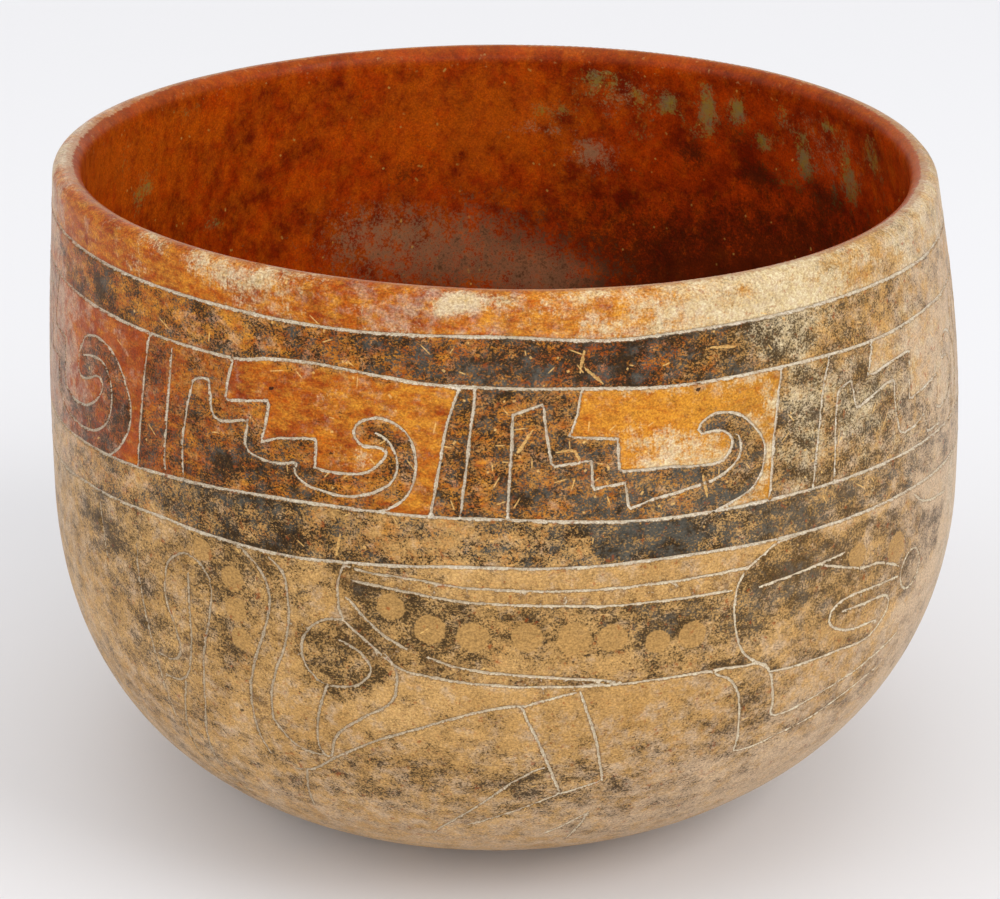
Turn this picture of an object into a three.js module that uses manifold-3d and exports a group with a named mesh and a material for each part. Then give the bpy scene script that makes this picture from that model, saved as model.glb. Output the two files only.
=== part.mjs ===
// Incised pottery bowl, coiled by hand and fired as one piece of clay.
// Millimetres, +Z up. The origin is on the table under the middle of the belly, and -Y is the front.
import * as THREE from "three";
import { mergeVertices } from "three/addons/utils/BufferGeometryUtils.js";
import Module from "manifold-3d";

// Vessel sizes
const height = 117.3; // table to the crest of the lip, on average round the rim
const bellyRadius = 82.5; // widest outside radius
const bellyHeight = 58.3; // table to the widest ring
const lipRadius = 75.5; // axis to the crest of the lip
const lipThickness = 5.3; // the lip is a full round of this thickness
const wallThickness = 5.8; // at the widest ring
const floorThickness = 7.5; // under the middle of the bowl
const restRadius = 30.6; // flat that the bowl stands on
const inwardTilt = 7.5; // degrees that the wall leans in where it meets the lip

// Fullness of the curves: how far each end of a curve runs straight, as a share of its reach
const footFullness = 0.42;
const haunchFullness = 0.7;
const shoulderFullness = 0.44;
const neckFullness = 0.4;
const insideFullness = 0.94; // the inside turns a little sooner, which leaves the haunch thicker

// Hand-built form: the rim and the foot sit this far to the left of the belly's axis, seen from the front
const rimLean = 2;
const footLean = 2.8;

// The rim isn't level: it rises to one side, and also rises twice and dips twice on the way round
const rimTilt = 0.7;
const rimTiltTowards = 235; // azimuth in degrees from the front
const rimWarp = 0.6;
const rimWarpTowards = 128;

// Incised lines: a blunt point drawn through the slip into leather-hard clay
const lineWidth = 0.9;
const lineDepth = 0.5;

// Bands, measured down the wall with a tape from the crest of the lip
const rimBand = 8.6;
const collarBand = 7.8;
const friezeBand = 21.7;
const darkBand = 8.3;

// The encircling lines were drawn by eye, and drop this much from the front to the sides
const collarDrop = 1;
const friezeDrop = 4.2;
const darkDrop = 3;

// Frieze of step-frets
const fretCount = 9;
const firstFret = -4.6; // azimuth in degrees of one fret's leading edge, from the front

// Facets
const turns = 60;
const haunchSteps = 8;
const shoulderSteps = 3;
const lipSteps = 6;
const curveSteps = 3;
const longestSpan = 360 / turns; // degrees that one straight span of an incised line may cover

// Profile of the wall from the edge of the resting flat to the lip, as radius and height
const lipHalf = lipThickness / 2;
const tilt = THREE.MathUtils.degToRad(inwardTilt);
const lipCentre = new THREE.Vector2(lipRadius, height - lipHalf);
const lipOutward = new THREE.Vector2(Math.cos(tilt), Math.sin(tilt)).multiplyScalar(lipHalf);
const lipUpward = new THREE.Vector2(-Math.sin(tilt), Math.cos(tilt));

function wallCurves(foot, widest, top, fullness) {
  const spread = widest.x - foot.x;
  const drop = widest.y - foot.y;
  const rise = top.y - widest.y;
  const haunch = new THREE.CubicBezierCurve(
    foot,
    new THREE.Vector2(foot.x + footFullness * fullness * spread, foot.y),
    new THREE.Vector2(widest.x, widest.y - haunchFullness * fullness * drop),
    widest,
  );
  const shoulder = new THREE.CubicBezierCurve(
    widest,
    new THREE.Vector2(widest.x, widest.y + shoulderFullness * rise),
    top.clone().addScaledVector(lipUpward, -neckFullness * rise),
    top,
  );
  return [haunch, shoulder];
}

const outside = new THREE.CurvePath();
outside.curves = wallCurves(
  new THREE.Vector2(restRadius, 0),
  new THREE.Vector2(bellyRadius, bellyHeight),
  lipCentre.clone().add(lipOutward),
  1,
);
const inside = new THREE.CurvePath();
inside.curves = wallCurves(
  new THREE.Vector2(restRadius, floorThickness),
  new THREE.Vector2(bellyRadius - wallThickness, bellyHeight),
  lipCentre.clone().sub(lipOutward),
  insideFullness,
);

// A place on the outside wall, by its distance up the wall from the edge of the resting flat
const wallLength = outside.getLength();
const crestUp = wallLength + (Math.PI / 2 - tilt) * lipHalf;

function wallAt(up) {
  const share = THREE.MathUtils.clamp(up / wallLength, 0, 1);
  const place = outside.getPointAt(share);
  const along = outside.getTangentAt(share);
  return { place, out: new THREE.Vector2(along.y, -along.x) };
}

// Encircling lines, as distances up the wall
const rimLine = crestUp - rimBand;
const collarLine = rimLine - collarBand;
const friezeLine = collarLine - friezeBand;
const darkLine = friezeLine - darkBand;
const encirclingLines = [darkLine, friezeLine, collarLine, rimLine];

// Rows of the outside wall: even steps, with a V for each encircling line
function outsideRows() {
  const bellyUp = outside.curves[0].getLength();
  const evenSteps = [];
  for (let i = 0; i < haunchSteps; i++) {
    evenSteps.push((bellyUp * i) / haunchSteps);
  }
  for (let i = 0; i <= shoulderSteps; i++) {
    evenSteps.push(bellyUp + ((wallLength - bellyUp) * i) / shoulderSteps);
  }
  const isClear = (up) => encirclingLines.every((line) => Math.abs(up - line) > 2 * lineWidth);
  const rows = evenSteps.filter(isClear).map((up) => ({ up, depth: 0 }));
  encirclingLines.forEach((line) => {
    rows.push({ up: line - lineWidth / 2, depth: 0 });
    rows.push({ up: line, depth: lineDepth });
    rows.push({ up: line + lineWidth / 2, depth: 0 });
  });
  rows.sort((a, b) => a.up - b.up);
  return rows.map(({ up, depth }) => {
    const { place, out } = wallAt(up);
    return place.addScaledVector(out, -depth);
  });
}

// Round of the lip, over the top from the outside wall to the inside wall
function lipRows() {
  return Array.from({ length: lipSteps - 1 }, (_, i) => {
    const angle = tilt + (Math.PI * (i + 1)) / lipSteps;
    return new THREE.Vector2(Math.cos(angle), Math.sin(angle)).multiplyScalar(lipHalf).add(lipCentre);
  });
}

function insideRows() {
  const shoulder = inside.curves[1].getSpacedPoints(shoulderSteps).reverse();
  const haunch = inside.curves[0].getSpacedPoints(haunchSteps).reverse();
  return [...shoulder, ...haunch.slice(1)];
}

function bodyProfile() {
  const underside = new THREE.Vector2(0, 0);
  const floor = new THREE.Vector2(0, floorThickness);
  return [underside, ...outsideRows(), ...lipRows(), ...insideRows(), floor];
}

const wasm = await Module();
wasm.setup();

function toSolid(geometry) {
  const bare = geometry.clone();
  bare.deleteAttribute("normal");
  bare.deleteAttribute("uv");
  const merged = mergeVertices(bare);
  return new wasm.Manifold(
    new wasm.Mesh({
      numProp: 3,
      vertProperties: merged.attributes.position.array,
      triVerts: new Uint32Array(merged.index.array),
    }),
  );
}

// Point and outward normal on the wall, by azimuth in degrees from the front and distance up the wall
function onWall([azimuth, up]) {
  const { place, out } = wallAt(up);
  const angle = THREE.MathUtils.degToRad(azimuth - 90);
  const radial = new THREE.Vector3(Math.cos(angle), Math.sin(angle), 0);
  const point = radial.clone().multiplyScalar(place.x).setZ(place.y);
  return { point, out: radial.multiplyScalar(out.x).setZ(out.y) };
}

// Long spans of a line are shared out, so that it keeps to the round wall
function shareOut(points) {
  const path = [points[0]];
  points.slice(1).forEach(([azimuth, up]) => {
    const [fromAzimuth, fromUp] = path.at(-1);
    const reach = THREE.MathUtils.radToDeg(Math.abs(up - fromUp) / bellyRadius);
    const parts = Math.ceil(Math.hypot(azimuth - fromAzimuth, reach) / longestSpan);
    for (let i = 1; i <= parts; i++) {
      const share = i / parts;
      path.push([fromAzimuth + (azimuth - fromAzimuth) * share, fromUp + (up - fromUp) * share]);
    }
  });
  return path;
}

// Cutter for one incised line: a V swept along its points, with its open edges clear of the clay
function lineCutter(points) {
  const places = shareOut(points).map(onWall);
  const last = places.length - 1;
  const corners = [];
  places.forEach(({ point, out }, i) => {
    const incoming = point.clone().sub(places[Math.max(i - 1, 0)].point).normalize();
    const outgoing = places[Math.min(i + 1, last)].point.clone().sub(point).normalize();
    const along = incoming.clone().add(outgoing).normalize();
    const mitre = 1 / Math.max(0.5, along.dot(i < last ? outgoing : incoming));
    const side = new THREE.Vector3().crossVectors(out, along).normalize().multiplyScalar(lineWidth * mitre);
    const above = point.clone().addScaledVector(out, lineDepth);
    corners.push(above.clone().add(side), above.clone().sub(side), point.clone().addScaledVector(out, -lineDepth));
  });
  const faces = [0, 2, 1, 3 * last, 3 * last + 1, 3 * last + 2];
  for (let i = 0; i < last; i++) {
    for (let k = 0; k < 3; k++) {
      const a = 3 * i + k;
      const b = 3 * i + ((k + 1) % 3);
      faces.push(a, b, a + 3, b, b + 3, a + 3);
    }
  }
  return toSolid(new THREE.BufferGeometry().setFromPoints(corners).setIndex(faces));
}

// One step-fret in its cell: x in degrees from the leading edge, y as a share of the frieze's height
function fretLines() {
  const frontEdge = new THREE.Path().moveTo(0, 1);
  frontEdge.quadraticCurveTo(-1.6, 0.6, -3.5, 0);
  const backEdge = new THREE.Path().moveTo(2, 1);
  backEdge.lineTo(-0.2, 0);
  const steps = new THREE.Path().moveTo(5, 0);
  steps.lineTo(6, 0.83).lineTo(9.5, 0.9).lineTo(10.1, 0.43).lineTo(14.5, 0.47);
  steps.lineTo(14.5, 0.25).lineTo(18.3, 0.28).lineTo(18.5, 0.07).lineTo(27.6, 0.2);
  steps.bezierCurveTo(31, 0.26, 32.6, 0.36, 32.2, 0.53);
  const hook = new THREE.Path().moveTo(13.9, 1);
  hook.lineTo(12.1, 0.65).lineTo(17.6, 0.62).lineTo(17.6, 0.37).lineTo(28.6, 0.34);
  hook.bezierCurveTo(32, 0.36, 32.4, 0.6, 27.8, 0.6);
  hook.bezierCurveTo(26.6, 0.62, 27.4, 0.72, 29.6, 0.72);
  hook.bezierCurveTo(33.4, 0.73, 36.6, 0.42, 35.3, 0.25);
  hook.quadraticCurveTo(34.2, 0.08, 29.5, 0);
  return [frontEdge, backEdge, steps, hook];
}

// Drawing under the bands: x in degrees from the front, y in mm down the wall from the dark band's line
function deckAndKeel() {
  const deck = new THREE.Path().moveTo(-18.2, 1);
  deck.quadraticCurveTo(-2, 4.2, 12, 4.1).lineTo(28.4, 4);
  const keel = new THREE.Path().moveTo(-18.4, 11);
  keel.quadraticCurveTo(-12, 20, 5, 21).lineTo(24, 21.3).quadraticCurveTo(29, 21.3, 32.2, 24.2);
  const prow = new THREE.Path().moveTo(32.5, 1);
  prow.quadraticCurveTo(26.7, 4, 26.7, 10).quadraticCurveTo(26.8, 20, 32.2, 24);
  prow.quadraticCurveTo(33.2, 29, 34.1, 34).lineTo(49.5, 31.2);
  const trail = new THREE.Path().moveTo(24.2, 21.5);
  trail.quadraticCurveTo(29, 25, 30, 40.5).lineTo(48, 36);
  return [deck, keel, prow, trail];
}

function scrollAndLeaf() {
  const scroll = new THREE.Path().moveTo(-18.2, 1);
  scroll.quadraticCurveTo(-19.4, 6, -18.4, 11);
  scroll.bezierCurveTo(-24.4, 9.6, -25.6, 23, -19.5, 23.2).bezierCurveTo(-14, 23, -14, 16, -18.8, 14.5);
  const stem = new THREE.Path().moveTo(-20.5, 23.2);
  stem.quadraticCurveTo(-22.8, 32, -21.5, 38.5);
  const leaf = new THREE.Path().moveTo(-12.8, 18.6);
  leaf.quadraticCurveTo(-11.6, 25, -16, 28.2).quadraticCurveTo(-20.4, 32, -20.9, 38);
  return [scroll, stem, leaf];
}

function strapAndLoop() {
  const strap = new THREE.Path().moveTo(-31.5, 1);
  strap.bezierCurveTo(-24.6, 11, -32.6, 22, -31, 32).quadraticCurveTo(-30.9, 37, -29.8, 41);
  const strapEdge = new THREE.Path().moveTo(-27, 2);
  strapEdge.bezierCurveTo(-22.8, 14, -28, 22, -28.2, 32).quadraticCurveTo(-27, 38.5, -21.5, 38.5);
  const loop = new THREE.Path().moveTo(-44, 27.3);
  loop.bezierCurveTo(-39, 26, -43.4, 16, -43.3, 12).bezierCurveTo(-43, 2, -33.6, 4, -36.2, 16);
  loop.quadraticCurveTo(-38.2, 30, -41.2, 51);
  return [strap, strapEdge, loop];
}

function rays() {
  const ray = new THREE.Path().moveTo(-26.5, 43.7);
  ray.quadraticCurveTo(-14, 28, 2, 24.6).lineTo(7.5, 44.7);
  const spar = new THREE.Path().moveTo(8.5, 22.2);
  spar.lineTo(12.5, 41.7).quadraticCurveTo(4, 46, -4, 55);
  const stay = new THREE.Path().moveTo(5, 37.7);
  stay.quadraticCurveTo(0, 40, -8.7, 59);
  return [ray, spar, stay];
}

const cutters = [];
for (let fret = 0; fret < fretCount; fret++) {
  const edge = firstFret + (360 / fretCount) * fret;
  fretLines().forEach((line) => {
    const points = line.getPoints(curveSteps);
    cutters.push(lineCutter(points.map(({ x, y }) => [edge + x, friezeLine + friezeBand * y])));
  });
}
[...deckAndKeel(), ...scrollAndLeaf(), ...strapAndLoop(), ...rays()].forEach((line) => {
  const points = line.getPoints(curveSteps);
  cutters.push(lineCutter(points.map(({ x, y }) => [x, darkLine - y])));
});

// Body: the profile turned about the axis, with the frieze and the drawing cut out of it
const blank = toSolid(new THREE.LatheGeometry(bodyProfile(), turns).rotateX(Math.PI / 2));
const incised = blank.subtract(wasm.Manifold.union(cutters)).simplify(lineDepth / 20);

// What the maker's hand adds to the true form: drooping lines, rings off the axis and a rim out of level
const droops = [
  { z: 0, drop: 0 },
  { z: bellyHeight / 2, drop: 0 },
  { z: wallAt(darkLine).place.y, drop: darkDrop },
  { z: wallAt(friezeLine).place.y, drop: friezeDrop },
  { z: wallAt(collarLine).place.y, drop: collarDrop },
  { z: wallAt(rimLine).place.y, drop: 0 },
  { z: height, drop: 0 },
];

function dropAt(z) {
  const next = Math.max(1, droops.findIndex((row) => row.z >= z));
  const low = droops[next - 1];
  const high = droops[next];
  return THREE.MathUtils.mapLinear(z, low.z, high.z, low.drop, high.drop);
}

function rimRise(azimuth) {
  const tilted = rimTilt * Math.cos(azimuth - THREE.MathUtils.degToRad(rimTiltTowards));
  const warped = rimWarp * Math.cos(2 * (azimuth - THREE.MathUtils.degToRad(rimWarpTowards)));
  return tilted + warped;
}

function byHand(vertex) {
  const over = Math.max(0, (vertex.z - bellyHeight) / (height - bellyHeight));
  const under = Math.max(0, 1 - vertex.z / bellyHeight);
  const azimuth = Math.atan2(vertex.x, -vertex.y);
  const droop = dropAt(vertex.z) * Math.sin(azimuth) ** 2;
  vertex.z += over ** 2 * rimRise(azimuth) - droop;
  vertex.x -= rimLean * over ** 2 + footLean * under ** 2;
}

function toGeometry(solid) {
  const mesh = solid.getMesh();
  const positions = new THREE.BufferAttribute(new Float32Array(mesh.vertProperties), 3);
  const vertex = new THREE.Vector3();
  for (let i = 0; i < positions.count; i++) {
    vertex.fromBufferAttribute(positions, i);
    byHand(vertex);
    positions.setXYZ(i, vertex.x, vertex.y, vertex.z);
  }
  const geometry = new THREE.BufferGeometry();
  geometry.setAttribute("position", positions);
  geometry.setIndex(new THREE.BufferAttribute(new Uint32Array(mesh.triVerts), 1));
  const faceted = geometry.toNonIndexed();
  faceted.computeVertexNormals();
  return faceted;
}

// Burnished slip over buff clay, as one colour
const firedClay = new THREE.MeshStandardMaterial({ color: 0xb0783f, roughness: 0.5, metalness: 0 });

const bowl = new THREE.Mesh(toGeometry(incised), firedClay);
bowl.name = "bowl";
const group = new THREE.Group();
group.name = "pottery_bowl";
group.add(bowl);

export default group;
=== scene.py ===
"""Blender scene of an incised, slip-painted pottery bowl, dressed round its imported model."""

import logging
import math
from dataclasses import dataclass, field
from enum import Enum

import bpy
import numpy as np
from mathutils import Matrix, Vector
from mathutils.geometry import delaunay_2d_cdt
from mathutils.kdtree import KDTree


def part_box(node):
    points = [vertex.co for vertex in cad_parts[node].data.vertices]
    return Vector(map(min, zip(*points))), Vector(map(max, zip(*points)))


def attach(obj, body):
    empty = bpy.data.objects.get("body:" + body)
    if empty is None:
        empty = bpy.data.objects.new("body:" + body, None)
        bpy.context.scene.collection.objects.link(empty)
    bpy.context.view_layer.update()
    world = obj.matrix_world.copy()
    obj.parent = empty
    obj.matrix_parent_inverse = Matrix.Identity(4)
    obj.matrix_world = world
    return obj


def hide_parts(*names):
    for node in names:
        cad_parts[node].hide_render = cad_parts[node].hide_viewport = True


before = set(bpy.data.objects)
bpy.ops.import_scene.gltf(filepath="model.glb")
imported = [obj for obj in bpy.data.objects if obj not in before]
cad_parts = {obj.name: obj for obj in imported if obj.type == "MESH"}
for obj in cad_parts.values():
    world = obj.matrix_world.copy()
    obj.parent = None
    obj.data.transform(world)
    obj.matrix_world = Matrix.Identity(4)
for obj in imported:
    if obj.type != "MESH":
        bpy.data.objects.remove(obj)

LOG = logging.getLogger("bowl")
MM = 0.001
MATH, MIX, RANGE, ATTRIBUTE = "ShaderNodeMath", "ShaderNodeMix", "ShaderNodeMapRange", "ShaderNodeAttribute"
NOISE, SPLIT = "ShaderNodeTexNoise", "ShaderNodeSeparateXYZ"
TURN, VECTOR = "ShaderNodeVectorRotate", "ShaderNodeVectorMath"
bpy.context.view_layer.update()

Place = tuple[float, float]
Tree, Node, Material = bpy.types.NodeTree, bpy.types.Node, bpy.types.Material
LINES = ("rim", "collar", "frieze", "dark")


def add(tree: Tree, kind: str, links: dict | None = None, **settings: object) -> Node:
    """Add one node with its settings and links.

    Args:
        tree: Tree that takes the node.
        kind: Blender's class name of the node.
        links: Name or number of a shown input to the value it holds, or to the node or output that feeds it.
        settings: Properties of the node itself.

    Returns:
        The new node.
    """
    node = tree.nodes.new(kind)
    for name, value in settings.items():
        setattr(node, name, value)
    shown = [socket for socket in node.inputs if socket.enabled]
    for key, value in (links or {}).items():
        target = shown[key] if isinstance(key, int) else next(s for s in shown if s.name == key)
        if isinstance(value, Node):
            value = next(s for s in value.outputs if s.enabled)
        if isinstance(value, bpy.types.NodeSocket):
            tree.links.new(value, target)
        else:
            target.default_value = value
    return node


def linear(hex_colour: str) -> tuple[float, float, float, float]:
    """Turn an sRGB hex colour to the linear colour that a socket takes.

    Args:
        hex_colour: Six hex digits, such as "b9935f".

    Returns:
        Linear red, green and blue, and an alpha of 1.
    """
    parts = [int(hex_colour[i : i + 2], 16) / 255 for i in (0, 2, 4)]
    return (*[c / 12.92 if c <= 0.04045 else ((c + 0.055) / 1.055) ** 2.4 for c in parts], 1.0)


def per_mm(size_mm: float) -> float:
    """Texture scale that gives a feature of this size, for coordinates in metres."""
    return 1 / (size_mm * MM)


class Skin(Enum):
    """Part of the bowl's surface, by the finish it takes."""

    OUTSIDE = 0
    INSIDE = 1
    UNDERSIDE = 2


@dataclass(frozen=True)
class Wall:
    """True form of the vessel, in millimetres, before the hand-built lean and wave."""

    belly_radius: float
    height: float = 117.3
    belly_height: float = 58.3
    lip_radius: float = 75.5
    lip_thickness: float = 5.3
    wall_thickness: float = 5.8
    floor_thickness: float = 7.5
    rest_radius: float = 30.6
    inward_tilt: float = math.radians(7.5)
    foot_fullness: float = 0.42
    haunch_fullness: float = 0.7
    shoulder_fullness: float = 0.44
    neck_fullness: float = 0.4
    inside_fullness: float = 0.94
    samples: int = 160

    def bezier(self, corners: list[Place]) -> np.ndarray:
        """Sample a cubic Bezier curve.

        Args:
            corners: Its two ends with the two handles between them.

        Returns:
            Points along the curve, one per row.
        """
        t = np.linspace(0, 1, self.samples)[:, None]
        a, b, c, d = (np.array(corner) for corner in corners)
        return (1 - t) ** 3 * a + 3 * (1 - t) ** 2 * t * b + 3 * (1 - t) * t**2 * c + t**3 * d

    def side(self, foot: Place, widest: Place, top: Place, fullness: float) -> np.ndarray:
        """Sample one side of the wall from its foot over the belly to the lip.

        Args:
            foot: Radius and height where the wall starts.
            widest: Radius and height of the belly.
            top: Radius and height where the wall meets the lip.
            fullness: How full the haunch is, 1 for the outside.

        Returns:
            Points from the foot to the top.
        """
        spread, drop, rise = widest[0] - foot[0], widest[1] - foot[1], top[1] - widest[1]
        foot_handle = (foot[0] + self.foot_fullness * fullness * spread, foot[1])
        haunch_handle = (widest[0], widest[1] - self.haunch_fullness * fullness * drop)
        shoulder_handle = (widest[0], widest[1] + self.shoulder_fullness * rise)
        reach = self.neck_fullness * rise
        neck_handle = (top[0] + math.sin(self.inward_tilt) * reach,
                       top[1] - math.cos(self.inward_tilt) * reach)
        haunch = self.bezier([foot, foot_handle, haunch_handle, widest])
        shoulder = self.bezier([widest, shoulder_handle, neck_handle, top])
        return np.vstack([haunch, shoulder[1:]])

    def outline(self) -> dict[str, np.ndarray]:
        """Sample the two sides of the wall and the round of the lip between them.

        Returns:
            The stretch "outside" from the foot to the crest, and "inside" from the crest to the floor's edge.
        """
        half = self.lip_thickness / 2
        centre = np.array([self.lip_radius, self.height - half])
        out = half * np.array([math.cos(self.inward_tilt), math.sin(self.inward_tilt)])
        foot, widest = (self.rest_radius, 0), (self.belly_radius, self.belly_height)
        outside = self.side(foot, widest, tuple(centre + out), 1)
        inside = self.side(
            (self.rest_radius, self.floor_thickness),
            (self.belly_radius - self.wall_thickness, self.belly_height),
            tuple(centre - out),
            self.inside_fullness,
        )
        turn = np.linspace(self.inward_tilt, math.pi / 2, 24)[1:, None]
        over = centre + half * np.hstack([np.cos(turn), np.sin(turn)])
        turn = np.linspace(math.pi / 2, math.pi + self.inward_tilt, 24)[1:, None]
        under = centre + half * np.hstack([np.cos(turn), np.sin(turn)])
        inner = np.vstack([over[-1:], under, inside[::-1][1:]])
        return {"outside": np.vstack([outside, over]), "inside": inner}


def smooth(points: list[Place], steps: int = 8) -> list[Place]:
    """Run a Catmull-Rom curve through points.

    Args:
        points: Places that the curve passes.
        steps: Parts that each span is cut into.

    Returns:
        Places along the curve, both ends included.
    """
    knots = np.array([points[0], *points, points[-1]], float)
    t = np.linspace(0, 1, steps, endpoint=False)[:, None]
    spans = []
    for a, b, c, d in zip(knots, knots[1:], knots[2:], knots[3:]):
        start = 2 * b + (c - a) * t + (2 * a - 5 * b + 4 * c - d) * t**2
        spans.append(0.5 * (start + (3 * b - a - 3 * c + d) * t**3))
    return [tuple(p) for p in np.vstack([*spans, knots[-1:]])]


@dataclass
class Bands:
    """Encircling lines by name, each through (azimuth, height) places read round the bowl."""

    seam: float = 158.8
    rim: tuple[Place, ...] = (
        (-75, 110.0), (-40, 110.05), (-25, 109.8), (-15, 109.8), (-5, 110.2), (2, 110.3), (8, 109.8),
        (14, 109.45), (22, 109.8), (35, 109.9), (50, 109.7), (60, 109.2), (72, 108.8), (120, 109.2),
        (180, 110.0), (240, 110.2),
    )
    collar: tuple[Place, ...] = (
        (-75, 102.1), (-50, 102.1), (-34, 102.1), (-30.5, 102.3), (-27, 103.3), (-22, 103.8), (-18, 103.6),
        (-12, 102.9), (-8, 102.4), (0, 102.2), (10, 101.9), (20, 101.2), (30, 101.3), (40, 101.1),
        (50, 100.6), (65, 100.3), (75, 99.9), (120, 100.6), (180, 101.6), (240, 102.0),
    )
    frieze: tuple[Place, ...] = (
        (-72, 76.2), (-60, 77.3), (-50, 78.3), (-42, 79.3), (-35, 80.0), (-28, 80.7), (-20, 81.0),
        (-10, 80.9), (0, 80.8), (8, 80.2), (15, 79.6), (25, 79.5), (35, 79.4), (45, 79.0), (55, 78.4),
        (65, 77.6), (75, 76.9), (110, 76.6), (150, 78.2), (190, 78.8), (230, 77.4), (262, 76.2),
    )
    dark: tuple[Place, ...] = (
        (-72, 68.4), (-60, 70.0), (-50, 71.0), (-44, 71.6), (-35, 71.4), (-25, 71.2), (-18, 71.8),
        (-10, 72.3), (-4, 72.7), (7, 72.4), (20, 72.7), (30, 72.4), (40, 72.0), (55, 71.3), (65, 70.3),
        (75, 69.6), (110, 69.2), (150, 70.2), (190, 70.8), (230, 69.8), (262, 68.6),
    )

    def height(self, name: str, azimuth: np.ndarray | float) -> np.ndarray:
        """Height of an encircling line.

        Args:
            name: Which line.
            azimuth: Degrees from the front, any turn.

        Returns:
            Its height in millimetres at each azimuth.
        """
        knots = list(getattr(self, name))
        turn = [(knots[-1][0] - 360, knots[-1][1]), *knots, (knots[0][0] + 360, knots[0][1])]
        curve = np.array(smooth(turn))
        wrapped = (np.asarray(azimuth, float) - turn[0][0]) % 360 + turn[0][0]
        return np.interp(wrapped, curve[:, 0], curve[:, 1])

    def paths(self) -> list[list[Place]]:
        """Each line all the way round, from seam to seam, as azimuth and height."""
        azimuths = np.linspace(self.seam - 360, self.seam, 361)
        return [list(zip(azimuths, self.height(n, azimuths))) for n in LINES]


@dataclass
class Fret:
    """One step-fret of the frieze, its four lines as azimuth and height."""

    front_edge: list[Place]
    back_edge: list[Place]
    steps: list[Place]
    hook: list[Place]

    def lines(self) -> list[list[Place]]:
        """The four lines in drawing order."""
        return [self.front_edge, self.back_edge, self.steps, self.hook]

    def moved(self, turn: float, bands: Bands, wobble: float) -> "Fret":
        """The same fret drawn again further round, between the lines there.

        Args:
            turn: Degrees that it moves.
            bands: Lines that it stands between.
            wobble: Millimetres by which the hand strays.

        Returns:
            The new fret.
        """

        def again(line: list[Place]) -> list[Place]:
            """Draw one line of the fret again at its new place.

            Args:
                line: Places of the line.

            Returns:
                The line there, as far between the encircling lines as before.
            """
            azimuth, height = np.array(line).T
            low, high = bands.height("frieze", azimuth), bands.height("collar", azimuth)
            share = (height - low) / (high - low)
            to = azimuth + turn
            low, high = bands.height("frieze", to), bands.height("collar", to)
            stray = wobble * np.sin(to * 0.31 + height * 0.23)
            return list(zip(to + 0.5 * stray, low + share * (high - low) + stray * np.sin(share * math.pi)))

        return Fret(*[again(line) for line in self.lines()])


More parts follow.
